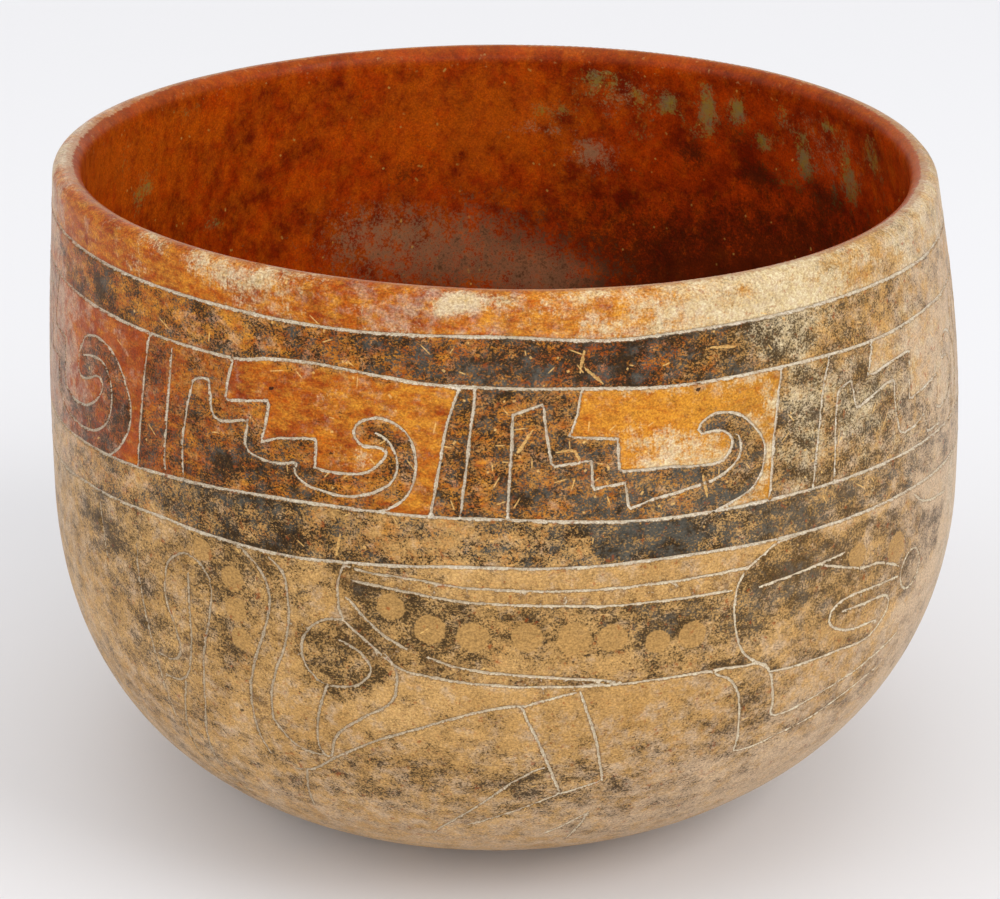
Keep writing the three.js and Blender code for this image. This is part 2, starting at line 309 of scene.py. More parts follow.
@dataclass
class Frieze:
    """Nine step-frets between the collar line and the frieze line."""

    bands: Bands
    repeat: float = 40.0
    hidden: int = 5

    def left_fret(self) -> Fret:
        """Fret whose hook curls at the left edge of the front.

        Returns:
            The fret, its places in degrees of azimuth and millimetres of height.
        """
        steps = [(-79.6, 76), (-79.1, 88), (-78.6, 97.5), (-75.1, 99), (-74.5, 87.5), (-70.1, 88),
                 (-70.1, 82)]
        steps += smooth([(-66.5, 80), (-62, 79.7), (-58, 80.4), (-55, 82.5), (-53.5, 85), (-52.9, 87.5)])
        steps += smooth([(-52.9, 87.5), (-53.2, 90.5), (-54.3, 92.7), (-56, 93.6), (-58.3, 93.3),
                         (-60.4, 92.5)])
        hook = [(-70.7, 102.1), (-72.5, 93), (-67, 92.5), (-67, 84.2)]
        hook += smooth([(-65, 83.8), (-63, 83.4), (-60, 84), (-57, 86), (-55.3, 88.8), (-55.6, 90.3),
                        (-57, 90.4)])
        hook += smooth([(-57, 90.4), (-59.5, 88.8), (-61.3, 88.5), (-62, 90), (-61.6, 93), (-60, 95.8),
                        (-57.5, 97)])
        hook += smooth([(-57.5, 97), (-54.8, 96.9), (-52, 95.2), (-50, 92), (-48.9, 88.5), (-49.3, 84.5),
                        (-51, 81), (-53.7, 77.9)])
        return Fret([(-84.6, 102), (-88.1, 76.4)], [(-82.6, 102), (-84.8, 76.4)], steps, hook)

    def near_left_fret(self) -> Fret:
        """Fret left of the middle, with rounded steps.

        Returns:
            The fret, its places in degrees of azimuth and millimetres of height.
        """
        front = smooth([(-45.3, 102.1), (-46, 97), (-46.6, 90), (-47.2, 84), (-47.6, 79)])
        back = smooth([(-41.4, 100.6), (-41.8, 94), (-42.3, 88), (-42.6, 82), (-42.4, 79.4)])
        steps = smooth([(-39.6, 79.6), (-39.6, 86), (-38.9, 91.5), (-38, 96.8)]) + [(-36.8, 97.6)]
        steps += smooth([(-35.4, 97.7), (-35.3, 95), (-35, 92.6), (-34.4, 91.8), (-33.3, 91.6),
                         (-29.9, 92.7)])
        steps += smooth([(-29.9, 92.7), (-30.3, 88.5), (-29.3, 87.2), (-27.5, 86.6), (-25.5, 86.7),
                         (-23.6, 87.5)])
        steps += smooth([(-23.6, 87.5), (-23.9, 85.5), (-22.5, 84), (-20.5, 83.3), (-17.5, 83), (-14.5, 84)])
        steps += smooth([(-14.5, 84), (-12.5, 86), (-11.7, 88.5), (-11.9, 91), (-12.8, 93), (-14.1, 93.9)])
        hook = [(-31.9, 102.3), (-32.7, 98.5), (-33.1, 95), (-27, 96.6), (-27.6, 92.5), (-28.3, 89.5)]
        hook += [(-26, 90.8), (-21.1, 91.7), (-21.4, 87)]
        hook += smooth([(-21.4, 87), (-19, 86.6), (-15.5, 87.2), (-13.8, 89), (-12.9, 90.7), (-13.7, 91.6)])
        hook += smooth([(-13.7, 91.6), (-15.7, 91.6), (-16.6, 93), (-16.4, 94.8), (-15, 96), (-13.8, 96.4)])
        hook += smooth([(-13.8, 96.4), (-12, 95.8), (-10.6, 94.3), (-9.7, 91.5), (-9.8, 87), (-11, 83.5),
                        (-14, 80.9)])
        return Fret(front, back, steps, hook)

    def near_right_fret(self) -> Fret:
        """Fret right of the middle, the clearest one, which the hidden ones repeat.

        Returns:
            The fret, its places in degrees of azimuth and millimetres of height.
        """
        front = smooth([(-4.5, 102.2), (-6.2, 95), (-7, 89), (-8.1, 81)])
        back = smooth([(-2.6, 102.2), (-3.6, 93), (-4.8, 81)])
        steps = [(0.4, 81), (0.9, 90), (1.4, 98), (4.9, 99.7), (4.9, 97), (5.5, 89.5), (9.9, 90.3),
                 (9.9, 85.5)]
        steps += [(13.7, 86.2), (13.9, 81.7)]
        steps += smooth([(13.9, 81.7), (17, 83), (23, 84.5), (26, 86), (27.5, 88), (27.8, 90), (27.6, 91.5)])
        hook = [(9.3, 102), (8.6, 98), (7.5, 94.2), (13, 93.5), (13, 88.1), (19, 88)]
        hook += smooth([(19, 88), (24, 87.5), (25.8, 88.2), (26.7, 90), (26.6, 91.5), (25.5, 92.8), (24, 93)])
        hook += smooth([(24, 93), (22.8, 92.9), (22.7, 94), (23.5, 95), (25, 95.8), (27, 95.5), (28.5, 94.5)])
        hook += smooth([(28.5, 94.5), (30, 92), (30.9, 89.5), (30.9, 87), (30.2, 84), (28.5, 81.8),
                        (24.2, 79.5)])
        return Fret(front, back, steps, hook)

    def right_fret(self) -> Fret:
        """Fret at the right edge of the front, its steps drawn wide.

        Returns:
            The fret, its places in degrees of azimuth and millimetres of height.
        """
        front = smooth([(34.3, 101.2), (33.3, 96), (32.5, 91), (31.8, 85), (31.3, 79.3)])
        back = smooth([(41.9, 101.1), (40.2, 96), (39.2, 90), (38.4, 85), (37.7, 79.3)])
        steps = smooth([(41.1, 79.3), (41.6, 87), (42, 91), (42.6, 94.5)]) + [(44, 95.2)]
        steps += smooth([(45.2, 95.4), (45.4, 92), (45.9, 90.5), (48, 91.2), (50, 91.8), (52, 92.4),
                         (53.6, 92.2)])
        steps += smooth([(53.6, 92.2), (53.4, 88), (53.7, 85), (54.3, 82.5), (57, 82), (59, 82.3),
                         (60.8, 82.9)])
        steps += smooth([(60.8, 82.9), (61.8, 79.1)]) + [(66, 78.6)]
        hook = [(49.7, 100.6), (49, 97.5), (48.2, 95.2), (50, 95), (53, 95.6), (57.9, 95.7), (57.4, 92),
                (57, 87.3)]
        hook += [(60, 87.4), (66, 87.7), (65.1, 82.2)]
        hook += smooth([(65.1, 82.2), (67, 81.3), (70.5, 82.5), (71.8, 86), (70.5, 89), (68.4, 89.4),
                        (68.2, 91.6)])
        hook += smooth([(68.2, 91.6), (70.3, 93.3), (73, 92), (75, 88.5), (75.4, 84), (74, 80.5),
                        (70.5, 77.2)])
        return Fret(front, back, steps, hook)

    def frets(self) -> list[Fret]:
        """All nine frets, the four in view first.

        Returns:
            One fret for each ninth of the turn.
        """
        model = self.near_right_fret()
        shown = [self.left_fret(), self.near_left_fret(), model, self.right_fret()]
        return shown + [model.moved(self.repeat * (i + 2), self.bands, 0.35) for i in range(self.hidden)]


@dataclass
class Drawing:
    """Incised drawing under the bands, as azimuth and distance up the wall in millimetres."""

    back_turn: float = 192.0

    def hull(self) -> list[list[Place]]:
        """Long double line with its keel, prow and trailing strokes.

        Returns:
            Its lines, in degrees of azimuth and millimetres up the wall.
        """
        deck = smooth([(-18.2, 100), (-15, 99.2), (-10, 98.8), (-6, 98), (0, 97.5), (8, 97.1), (16, 97.1),
                       (28.6, 97.3)])
        under_deck = smooth([(-17, 97.5), (-10, 96.4), (-5, 95.4), (4, 94.8), (12, 94.1), (20, 94),
                             (26.2, 93.8)])
        keel = smooth([(-18.2, 90.2), (-15.5, 87), (-12, 83), (-9, 82), (-5, 81.2), (0, 80.6), (5, 80.3),
                       (13, 80)])
        keel += smooth([(13, 80), (20, 80), (24, 80), (27, 79.7), (31, 79), (32.2, 77.2)])
        inner_keel = smooth([(-8.5, 85.3), (-5, 83.7), (0, 82.8), (5, 82), (10, 81.2), (13, 80.4)])
        prow = smooth([(36, 100.8), (32.5, 100.3), (30, 98.5), (28.6, 97.3), (27.3, 95), (26.7, 91),
                       (26.8, 88)])
        prow += smooth([(26.8, 88), (27.3, 84.5), (28.5, 81.5), (30.5, 79.3), (32.2, 77.2), (33, 74),
                        (33.7, 70)])
        prow += smooth([(33.7, 70), (34.1, 67.3), (37, 67), (40, 67.8), (45, 69), (49.5, 70), (57, 72.3)])
        trail = smooth([(24.2, 79.7), (27, 77), (28.3, 73.5), (29, 69), (29.6, 65), (30, 60.7)])
        trail += smooth([(30, 60.7), (33, 60.8), (37, 61.8), (42, 63), (48, 65.3), (54, 67)])
        return [deck, under_deck, keel, inner_keel, prow, trail]

    def tongue(self) -> list[list[Place]]:
        """Tongue and ring inside the prow.

        Returns:
            Its lines, in degrees of azimuth and millimetres up the wall.
        """
        low = smooth([(32.3, 77), (36, 76.5), (43, 76.3), (48.5, 75.8), (51, 77.5), (52.5, 80), (52.2, 82),
                      (51, 83)])
        low += smooth([(51, 83), (47, 83.4), (43, 83.8)])
        high = smooth([(49.8, 78.8), (45, 79.5), (42.5, 80.8), (41, 82.5), (41, 84.3), (42.2, 85.7),
                       (44.5, 86.2)])
        high += smooth([(44.5, 86.2), (49, 85.7), (54, 84.9)])
        turn = np.linspace(0, 6.1, 13)
        ring = smooth([(57.5 + 2.6 * math.cos(a), 84.7 + 3.6 * math.sin(a)) for a in turn], 4)
        brow = smooth([(30, 93.3), (37, 94), (43, 94.6)])
        lash = smooth([(38.5, 94.3), (41, 93), (46, 90.5), (50, 89.5), (54, 87)])
        crest = smooth([(57.5, 98.5), (60, 96), (64, 94.3), (69, 93)])
        return [low, high, ring, brow, lash, crest]

    def scroll(self) -> list[list[Place]]:
        """Scroll with its stem and leaf.

        Returns:
            Its lines, in degrees of azimuth and millimetres up the wall.
        """
        stalk = smooth([(-18.2, 100), (-18.9, 97), (-18.9, 93), (-18.4, 90.3)])
        scroll = smooth([(-18.4, 90.3), (-20.5, 90), (-22.3, 88.3), (-23.5, 85), (-23.1, 81), (-21.5, 78.5)])
        scroll += smooth([(-21.5, 78.5), (-19.5, 78), (-17, 78.8), (-15.4, 81), (-15.3, 83), (-16.5, 85.3)])
        scroll += smooth([(-16.5, 85.3), (-18.8, 86.7)])
        leaf = smooth([(-13.5, 85.3), (-12.3, 82.5), (-12.4, 78), (-13.5, 75.5), (-16, 73), (-19, 69.5),
                       (-20.3, 67)])
        leaf += smooth([(-20.3, 67), (-20.9, 63)])
        stem = smooth([(-20.5, 78), (-21.5, 74), (-22.3, 69), (-22.4, 64.5), (-21.5, 62.5)])
        inner = smooth([(-17.5, 94), (-16, 91.5), (-13.5, 88.5), (-11, 86.5)])
        return [stalk, scroll, leaf, stem, inner]

    def straps(self) -> list[list[Place]]:
        """Looped strap at the left and the long band beside it.

        Returns:
            Its lines, in degrees of azimuth and millimetres up the wall.
        """
        band = smooth([(-33.5, 100.2), (-31, 99.2), (-28.5, 96), (-27.5, 91.5), (-28.3, 86), (-29.8, 80),
                       (-30.8, 75)])
        band += smooth([(-30.8, 75), (-31, 69), (-30.7, 64), (-29.8, 60)])
        edge = smooth([(-27.5, 99), (-25.6, 96.5), (-25.1, 90), (-25.7, 84), (-27, 79), (-28, 74),
                       (-28.2, 69)])
        edge += smooth([(-28.2, 69), (-27, 66), (-25, 63.3), (-21.5, 62.7)])
        loop = smooth([(-45.2, 74.2), (-43.5, 74), (-41.8, 75.5), (-41.5, 78), (-42.2, 82), (-43.3, 86),
                       (-43.2, 90.5)])
        loop += smooth([(-43.2, 90.5), (-42.4, 93), (-40, 95.3), (-37.5, 94.6), (-36, 92), (-35.9, 88),
                        (-36.6, 83)])
        loop += smooth([(-36.6, 83), (-37.5, 78), (-38.2, 72), (-39, 66), (-40.3, 60), (-41.2, 54),
                        (-41.2, 50)])
        loop += smooth([(-41.2, 50), (-40, 45), (-38.5, 41)])
        inner = smooth([(-39.3, 92), (-39.3, 82), (-39.8, 76), (-40.8, 72.5), (-42.5, 70.2), (-45, 70.1)])
        outer = smooth([(-41.5, 70.5), (-43, 64), (-44.3, 58), (-44.8, 51), (-43.5, 46), (-41.5, 41)])
        side = smooth([(-48.5, 93), (-48.2, 88), (-47.6, 83), (-46.8, 76), (-46.2, 68), (-46, 60)])
        far = smooth([(-56.4, 97), (-55.9, 92), (-55.3, 88)])
        return [band, edge, loop, inner, outer, side, far]

    def rays(self) -> list[list[Place]]:
        """Long straight strokes under the keel.

        Returns:
            Its lines, in degrees of azimuth and millimetres up the wall.
        """
        ray = smooth([(-26.5, 57.5), (-24, 58.5), (-21, 62), (-18, 65.3), (-14, 68.8), (-10, 71.5),
                      (-6, 74), (-3, 75.6)])
        ray += smooth([(-3, 75.6), (0, 76.6), (2, 76.7)]) + smooth([(2, 76.7), (2.5, 74.3), (4, 69.5),
                                                                    (6, 62), (7.5, 56.5)])
        spar = smooth([(8.5, 79), (9.5, 75), (11, 68), (12, 62), (12.5, 59.3)])
        stay = smooth([(12.5, 59.3), (7.5, 56.5), (4, 53.5), (0, 49.8), (-4, 46.3)])
        brace = smooth([(5, 63.5), (3.5, 62.5), (1, 59.5), (-2, 54.5), (-5, 49.5), (-7.5, 45), (-8.7, 42)])
        foot = smooth([(-25, 57.5), (-25.8, 52), (-26.2, 46)])
        short = [[(12, 50), (10.8, 38)], [(12, 50), (7, 42)], [(2.5, 76.8), (5, 78), (8, 79)]]
        return [ray, spar, stay, brace, foot, *short]

    def lines(self) -> list[list[Place]]:
        """Every line of the drawing, and the same drawing again on the far side.

        Returns:
            The lines of the front, then those of the far side in the same order.
        """
        front = [*self.hull(), *self.tongue(), *self.scroll(), *self.straps(), *self.rays()]
        back = [[(azimuth + self.back_turn, up) for azimuth, up in line] for line in front]
        return front + back

    def discs(self) -> list[tuple[float, float, float]]:
        """Reserved discs of bare clay: azimuth, distance up the wall and radius.

        Returns:
            One disc per row, those of the front first.
        """
        row = [(-12.8, 93.7, 2.4), (-8.4, 90.3, 2.7), (-3.6, 89.3, 2.7), (2.4, 89.3, 2.6), (7.6, 88.8, 2.9)]
        row += [(12.0, 88.5, 2.6), (17.3, 87.0, 2.2), (21.4, 87.2, 2.5)]
        left = [(-36.9, 97.2, 2.1), (-32.6, 93.6, 2.3), (-32.2, 88.3, 2.2), (-31.6, 83.2, 2.1)]
        right = [(45.3, 92.9, 2.4), (53.4, 90.6, 3.0)]
        front = [*row, *left, *right]
        return front + [(azimuth + self.back_turn, up, radius) for azimuth, up, radius in front]


@dataclass
class Profile:
    """The closed profile measured along itself: 0 at the edge of the resting flat, less than 0 underneath."""

    wall: Wall
    places: np.ndarray = field(init=False)
    along: np.ndarray = field(init=False)
    unrolled: np.ndarray = field(init=False)
    crest: float = field(init=False)
    start: float = field(init=False)
    end: float = field(init=False)

    def __post_init__(self) -> None:
        """Measure the profile once."""
        outline = self.wall.outline()
        under = np.column_stack([np.linspace(0, self.wall.rest_radius, 60), np.zeros(60)])[:-1]
        floor = np.column_stack([np.linspace(self.wall.rest_radius, 0, 60),
                                 np.full(60, self.wall.floor_thickness)])[1:]
        self.places = np.vstack([under, outline["outside"], outline["inside"][1:], floor])
        steps = np.hypot(*np.diff(self.places, axis=0).T)
        self.along = np.concatenate([[0], np.cumsum(steps)]) - self.wall.rest_radius
        middle = np.maximum((self.places[1:, 0] + self.places[:-1, 0]) / 2, 0.5)
        self.unrolled = np.concatenate([[0], np.cumsum(steps / middle)]) * self.wall.belly_radius
        self.crest = self.along[len(under) + len(outline["outside"]) - 1]
        self.start, self.end = self.along[0], self.along[-1]

    def radius(self, up: np.ndarray) -> np.ndarray:
        """Radius at a distance along the profile."""
        return np.interp(up, self.along, self.places[:, 0])

    def up_at(self, height: np.ndarray) -> np.ndarray:
        """Distance up the outside wall of a height."""
        outside = (self.along >= 0) & (self.along <= self.crest)
        return np.interp(height, self.places[outside, 1], self.along[outside])

    def space(self, azimuth: np.ndarray, up: np.ndarray) -> np.ndarray:
        """Places in space on the true form, in millimetres.

        Args:
            azimuth: Degrees from the front.
            up: Distances along the profile.

        Returns:
            One place per row.
        """
        radius, angle = self.radius(up), np.radians(azimuth)
        height = np.interp(up, self.along, self.places[:, 1])
        return np.column_stack([radius * np.sin(angle), -radius * np.cos(angle), height])

    def even(self, azimuth: np.ndarray, up: np.ndarray) -> np.ndarray:
        """Flat coordinates in which angles on the wall stay true, so that triangles come out even."""
        across = self.wall.belly_radius * np.radians(azimuth)
        return np.column_stack([across, np.interp(up, self.along, self.unrolled)])


@dataclass
class Stroke:
    """One line drawn through the slip with a blunt point, by azimuth and distance up the wall."""

    path: list[Place]
    width: float
    depth: float
    seed: int
    tapered: bool = True
    beat: float = 2.0  # millimetres between two wavers of the hand
    width_waver: float = 0.16
    depth_waver: float = 0.22
    stray: float = 0.07
    taper: float = 1.2  # millimetres over which an end runs out

    def traced(self, profile: Profile, step: float) -> dict[str, np.ndarray]:
        """Follow the stroke at equal steps.

        Args:
            profile: Wall that it is drawn on.
            step: Millimetres from one station to the next.

        Returns:
            Azimuth, up, the unit normal on the wall (across, upwards), half width and depth at each station.
        """
        azimuth, up = np.array(self.path, float).T
        space = profile.space(azimuth, up)
        length = np.concatenate([[0], np.cumsum(np.linalg.norm(np.diff(space, axis=0), axis=1))])
        stations = np.linspace(0, length[-1], max(3, round(length[-1] / step) + 1))
        azimuth, up = np.interp(stations, length, azimuth), np.interp(stations, length, up)
        rng = np.random.default_rng(self.seed)
        knots = np.arange(0, length[-1] + 4, self.beat)
        waver = [np.interp(stations, knots, rng.uniform(-1, 1, len(knots))) for _ in range(3)]
        run = np.gradient(np.radians(azimuth)) * profile.radius(up)
        rise = np.gradient(up)
        size = np.maximum(np.hypot(run, rise), 1e-6)
        normal = np.column_stack([-rise / size, run / size])
        near_end = np.minimum(stations, length[-1] - stations)
        fade = np.clip(0.25 + near_end / self.taper, 0, 1) if self.tapered else np.ones_like(stations)
        half = self.width / 2 * (1 + self.width_waver * waver[0]) * (0.55 + 0.45 * fade)
        depth = self.depth * (1 + self.depth_waver * waver[1]) * fade
        stray = self.stray * waver[2] * fade * self.tapered
        azimuth = azimuth + np.degrees(normal[:, 0] * stray / profile.radius(up))
        up = up + normal[:, 1] * stray
        return {"azimuth": azimuth, "up": up, "normal": normal, "half": half, "depth": depth}


@dataclass
class Sheet:
    """The bowl's whole skin laid flat: azimuth runs across it, distance along the profile runs up it."""

    profile: Profile
    bands: Bands
    frieze: Frieze
    drawing: Drawing
    grain: float = 2.5
    hidden_grain: float = 3.6
    lip_grain: float = 1.4
    station: float = 1.0
    rows: tuple[float, ...] = (0.0, 0.5, 1.0, 1.35, 2.2)
    pole: float = 2.0
    row_share: float = 0.87  # height of an even triangle, as a share of its side
    lip_reach: float = 6.0  # finer rows reach this far on both sides of the crest
    lip_rows: int = 19
    lip_band: float = 4.5  # the lip's finest grain holds this far from the crest
    seen_depth: float = 36.0  # inside, the full grain reaches this far past the crest
    clearance: float = 0.45  # share of the grain that the grid keeps away from fine points
    fuse: float = 0.2
    seam_margin: float = 0.6
    seam_half: float = 0.43
    line_gap: float = 1.4
    band_cut: Place = (0.54, 0.4)  # width and depth in millimetres, here and below
    fret_cut: Place = (0.46, 0.36)
    drawn_cut: Place = (0.36, 0.26)
    scuff_cut: Place = (0.5, 0.16)
    pit_cut: Place = (0.8, 0.45)
    azimuth: np.ndarray = field(init=False)
    up: np.ndarray = field(init=False)
    triangles: list[tuple[int, ...]] = field(init=False)

    def incised(self) -> list[Stroke]:
        """The deep, pale lines: four round the bowl and those of the frets.

        Returns:
            One stroke per line.
        """
        made: list[Stroke] = []
        for path in self.bands.paths():
            azimuth, height = np.array(path).T
            path = list(zip(azimuth, self.profile.up_at(height)))
            made.append(Stroke(path, *self.band_cut, len(made), False))
        for fret in self.frieze.frets():
            for line in fret.lines():
                azimuth, height = np.array(line).T
                path = list(zip(azimuth, self.profile.up_at(height)))
                made.append(Stroke(path, *self.fret_cut, len(made)))
        return made

    def drawn(self) -> list[Stroke]:
        """The finer, shallower lines of the drawing."""
        return [Stroke(line, *self.drawn_cut, 200 + i) for i, line in enumerate(self.drawing.lines())]

    def scuffs(self) -> list[Stroke]:
        """Scratches through the black slip that are seen singly.

        Returns:
            One stroke per line.
        """
        up_at = self.profile.up_at
        seen = [[(9.8, 108), (9.2, 104.6)], [(9.8, 105.2), (11.7, 102.6)], [(25, 106.7), (28, 106.2)],
                [(3.5, 95.5), (1.5, 91.5)], [(6, 91.8), (8, 92.2), (8.7, 90)], [(22.8, 85.8), (23.2, 82.3)],
                [(-18.5, 76.5), (-19, 72.8)]]
        return [Stroke([(a, float(up_at(z))) for a, z in line], *self.scuff_cut, 500 + i)
                for i, line in enumerate(seen)]

    def pits(self) -> list[Stroke]:
        """Small dark holes where a grain has dropped out of the wall.

        Returns:
            One very short stroke per hole.
        """
        up_at = self.profile.up_at
        seen = [(-27, 98.5), (22.7, 100), (-7, 89.5), (-29.5, 118), (9, 57), (-33, 40)]
        return [Stroke([(a, float(up_at(z))), (a + 0.4, float(up_at(z)) + 0.2)], *self.pit_cut, 700 + i)
                for i, (a, z) in enumerate(seen)]

    def within(self, azimuth: np.ndarray) -> np.ndarray:
        """Azimuth brought between the two edges of the sheet."""
        return (azimuth - self.bands.seam) % 360 + self.bands.seam - 360

    def ribbons(self, strokes: list[Stroke]) -> np.ndarray:
        """Rows of points along both flanks of every stroke, the middle rows first.

        Args:
            strokes: Strokes to follow.

        Returns:
            Azimuth and distance along the profile, one point per row.
        """
        placed = []
        for row in self.rows:
            for side in (1, -1) if row else (1,):
                for stroke in strokes:
                    line = stroke.traced(self.profile, self.station)
                    offset = line["half"] * row * side
                    across = np.degrees(line["normal"][:, 0] * offset / self.profile.radius(line["up"]))
                    rise = line["normal"][:, 1] * offset
                    placed.append(np.column_stack([line["azimuth"] + across, line["up"] + rise]))
        return np.vstack(placed)

    def rings(self) -> np.ndarray:
        """Points round the edges of the reserved discs.

        Returns:
            Azimuth and distance along the profile, one point per row.
        """
        turn = np.linspace(0, 2 * math.pi, 14, endpoint=False)
        placed = []
        for azimuth, up, radius in self.drawing.discs():
            for share in (0.82, 1.12):
                across = np.degrees(radius * share * np.cos(turn) / self.profile.radius(up))
                placed.append(np.column_stack([azimuth + across, up + radius * share * np.sin(turn)]))
        return np.vstack(placed)

    def levels(self) -> np.ndarray:
        """Distances along the profile of the grid's rows, from one pole ring to the other.

        Returns:
            The distances in millimetres, from the underside over the lip to the floor.
        """
        low, high = self.profile.start + self.pole, self.profile.end - self.pole
        outer, inner = self.profile.crest - self.lip_reach, self.profile.crest + self.lip_reach
        seen = self.profile.crest + self.seen_depth
        row, hidden_row = self.grain * self.row_share, self.hidden_grain * self.row_share
        outside = np.linspace(0, outer, round(outer / row) + 1)
        lip = np.linspace(outer, inner, self.lip_rows)[1:-1]
        upper = np.linspace(inner, seen, round((self.seen_depth - self.lip_reach) / row) + 1)[:-1]
        inside = np.linspace(seen, high, round((high - seen) / hidden_row) + 1)
        under = np.linspace(low, 0, round(-low / hidden_row) + 1)[:-1]
        return np.concatenate([under, outside, lip, upper, inside])

    def grid(self) -> np.ndarray:
        """Staggered rows of even points between the two edges of the sheet.

        Returns:
            Azimuth and distance along the profile, one point per row.
        """
        placed = []
        for number, up in enumerate(self.levels()):
            grain = self.grain if 0 <= up < self.profile.crest + self.seen_depth else self.hidden_grain
            grain = self.lip_grain if abs(up - self.profile.crest) < self.lip_band else grain
            count = max(8, round(2 * math.pi * self.profile.radius(up) / grain))
            turn = (np.arange(count) + 0.5 + 0.5 * (number % 2)) * 360 / count
            third = 120 / count
            turn = turn[(turn > third) & (turn < 360 - third)]
            placed.append(np.column_stack([self.bands.seam - 360 + turn, np.full(len(turn), up)]))
        return np.vstack(placed)

    def edges(self) -> np.ndarray:
        """Points of the two edges that meet at the seam, the same rows on each.

        Returns:
            Azimuth and distance along the profile, the one edge and then the other.
        """
        rows = list(self.levels())
        for name in LINES:
            at = float(self.profile.up_at(self.bands.height(name, self.bands.seam)))
            rows = [up for up in rows if abs(up - at) > self.line_gap]
            for row in self.rows:
                rows += [at + self.seam_half * row * side for side in ((1, -1) if row else (1,))]
        rows = np.array(sorted(rows))
        sides = [np.column_stack([np.full(len(rows), self.bands.seam + turn), rows]) for turn in (-360, 0)]
        return np.vstack(sides)

    def build(self) -> None:
        """Place the points and join them with even triangles."""
        strokes = [*self.incised(), *self.drawn(), *self.scuffs(), *self.pits()]
        edges, lines = self.edges(), self.ribbons(strokes)
        lines[:, 0] = self.within(lines[:, 0])
        rings, grid = self.rings(), self.grid()
        rings[:, 0] = self.within(rings[:, 0])
        margin = np.degrees(self.seam_margin / self.profile.radius(lines[:, 1]))
        inner = (lines[:, 0] > self.bands.seam - 360 + margin) & (lines[:, 0] < self.bands.seam - margin)
        lines = lines[inner]
        fine = np.vstack([lines, rings])
        cells = np.round(self.profile.space(*fine.T) / self.fuse).astype(int)
        _, first = np.unique(cells, axis=0, return_index=True)
        fine = fine[np.sort(first)]
        tree = KDTree(len(fine))
        for index, place in enumerate(self.profile.space(*fine.T)):
            tree.insert(place, index)
        tree.balance()
        clear = [tree.find(place)[2] > self.clearance * self.grain for place in self.profile.space(*grid.T)]
        points = np.vstack([edges, fine, grid[np.array(clear)]])
        flat = self.profile.even(*points.T)
        joined = delaunay_2d_cdt([Vector(place) for place in flat], [], [], 0, 1e-6)
        source = [original[0] for original in joined[3]]
        self.azimuth, self.up = points[source, 0], points[source, 1]
        self.triangles = [tuple(face) for face in joined[2]]
        self.close_poles()
        counts = (len(strokes), len(self.up), len(self.triangles))
        LOG.info("sheet: %d strokes, %d points, %d triangles", *counts)

    def close_poles(self) -> None:
        """Add a row on the axis at each end, which the wrapping draws together to one point."""
        start, finish = self.profile.start, self.profile.end
        for ring, end in ((start + self.pole, start), (finish - self.pole, finish)):
            row = np.flatnonzero(np.abs(self.up - ring) < 1e-6)
            row = row[np.argsort(self.azimuth[row])]
            fresh = len(self.up) + np.arange(len(row))
            self.azimuth = np.concatenate([self.azimuth, self.azimuth[row]])
            self.up = np.concatenate([self.up, np.full(len(row), end)])
            for a, b, c, d in zip(row, row[1:], fresh[1:], fresh):
                quad = (a, b, c, d) if end > ring else (a, d, c, b)
                self.triangles.append(tuple(int(i) for i in quad))


@dataclass
class Relief:
    """How deep the skin sinks at each point of the sheet, and how near the next stroke of each kind is."""

    sheet: Sheet
    step: float = 0.15
    burr: float = 0.05  # millimetres beside a line 0.4 mm deep
    reach: float = 8.0
    spaces: np.ndarray = field(init=False)

    def __post_init__(self) -> None:
        """Place the sheet's points in space once."""
        self.spaces = self.sheet.profile.space(self.sheet.azimuth, self.sheet.up)

    def measure(self, strokes: list[Stroke]) -> tuple[np.ndarray, np.ndarray]:
        """Find the nearest station of a stroke for every point.

        Args:
            strokes: Strokes of one kind.

        Returns:
            Distance from the stroke in half widths, at most 8, and how far the skin sinks in millimetres.
        """
        profile = self.sheet.profile
        lines = [stroke.traced(profile, self.step) for stroke in strokes]
        half, depth = (np.concatenate([line[name] for line in lines]) for name in ("half", "depth"))
        places = np.vstack([profile.space(line["azimuth"], line["up"]) for line in lines])
        tree = KDTree(len(places))
        for index, place in enumerate(places):
            tree.insert(place, index)
        tree.balance()
        found = [tree.find(place)[1:] for place in self.spaces]
        nearest, distance = np.array([f[0] for f in found]), np.array([f[1] for f in found])
        nearness = np.minimum(distance / half[nearest], self.reach)

        # The groove is flat for a third of its half width, and a low burr stands beside its smooth flank.
        slope = np.clip((nearness - 0.35) / 0.65, 0, 1)
        groove = depth[nearest] * (1 - slope**2 * (3 - 2 * slope))
        return nearness, groove - self.burr * depth[nearest] / 0.4 * np.exp(-(((nearness - 1.35) / 0.3) ** 2))


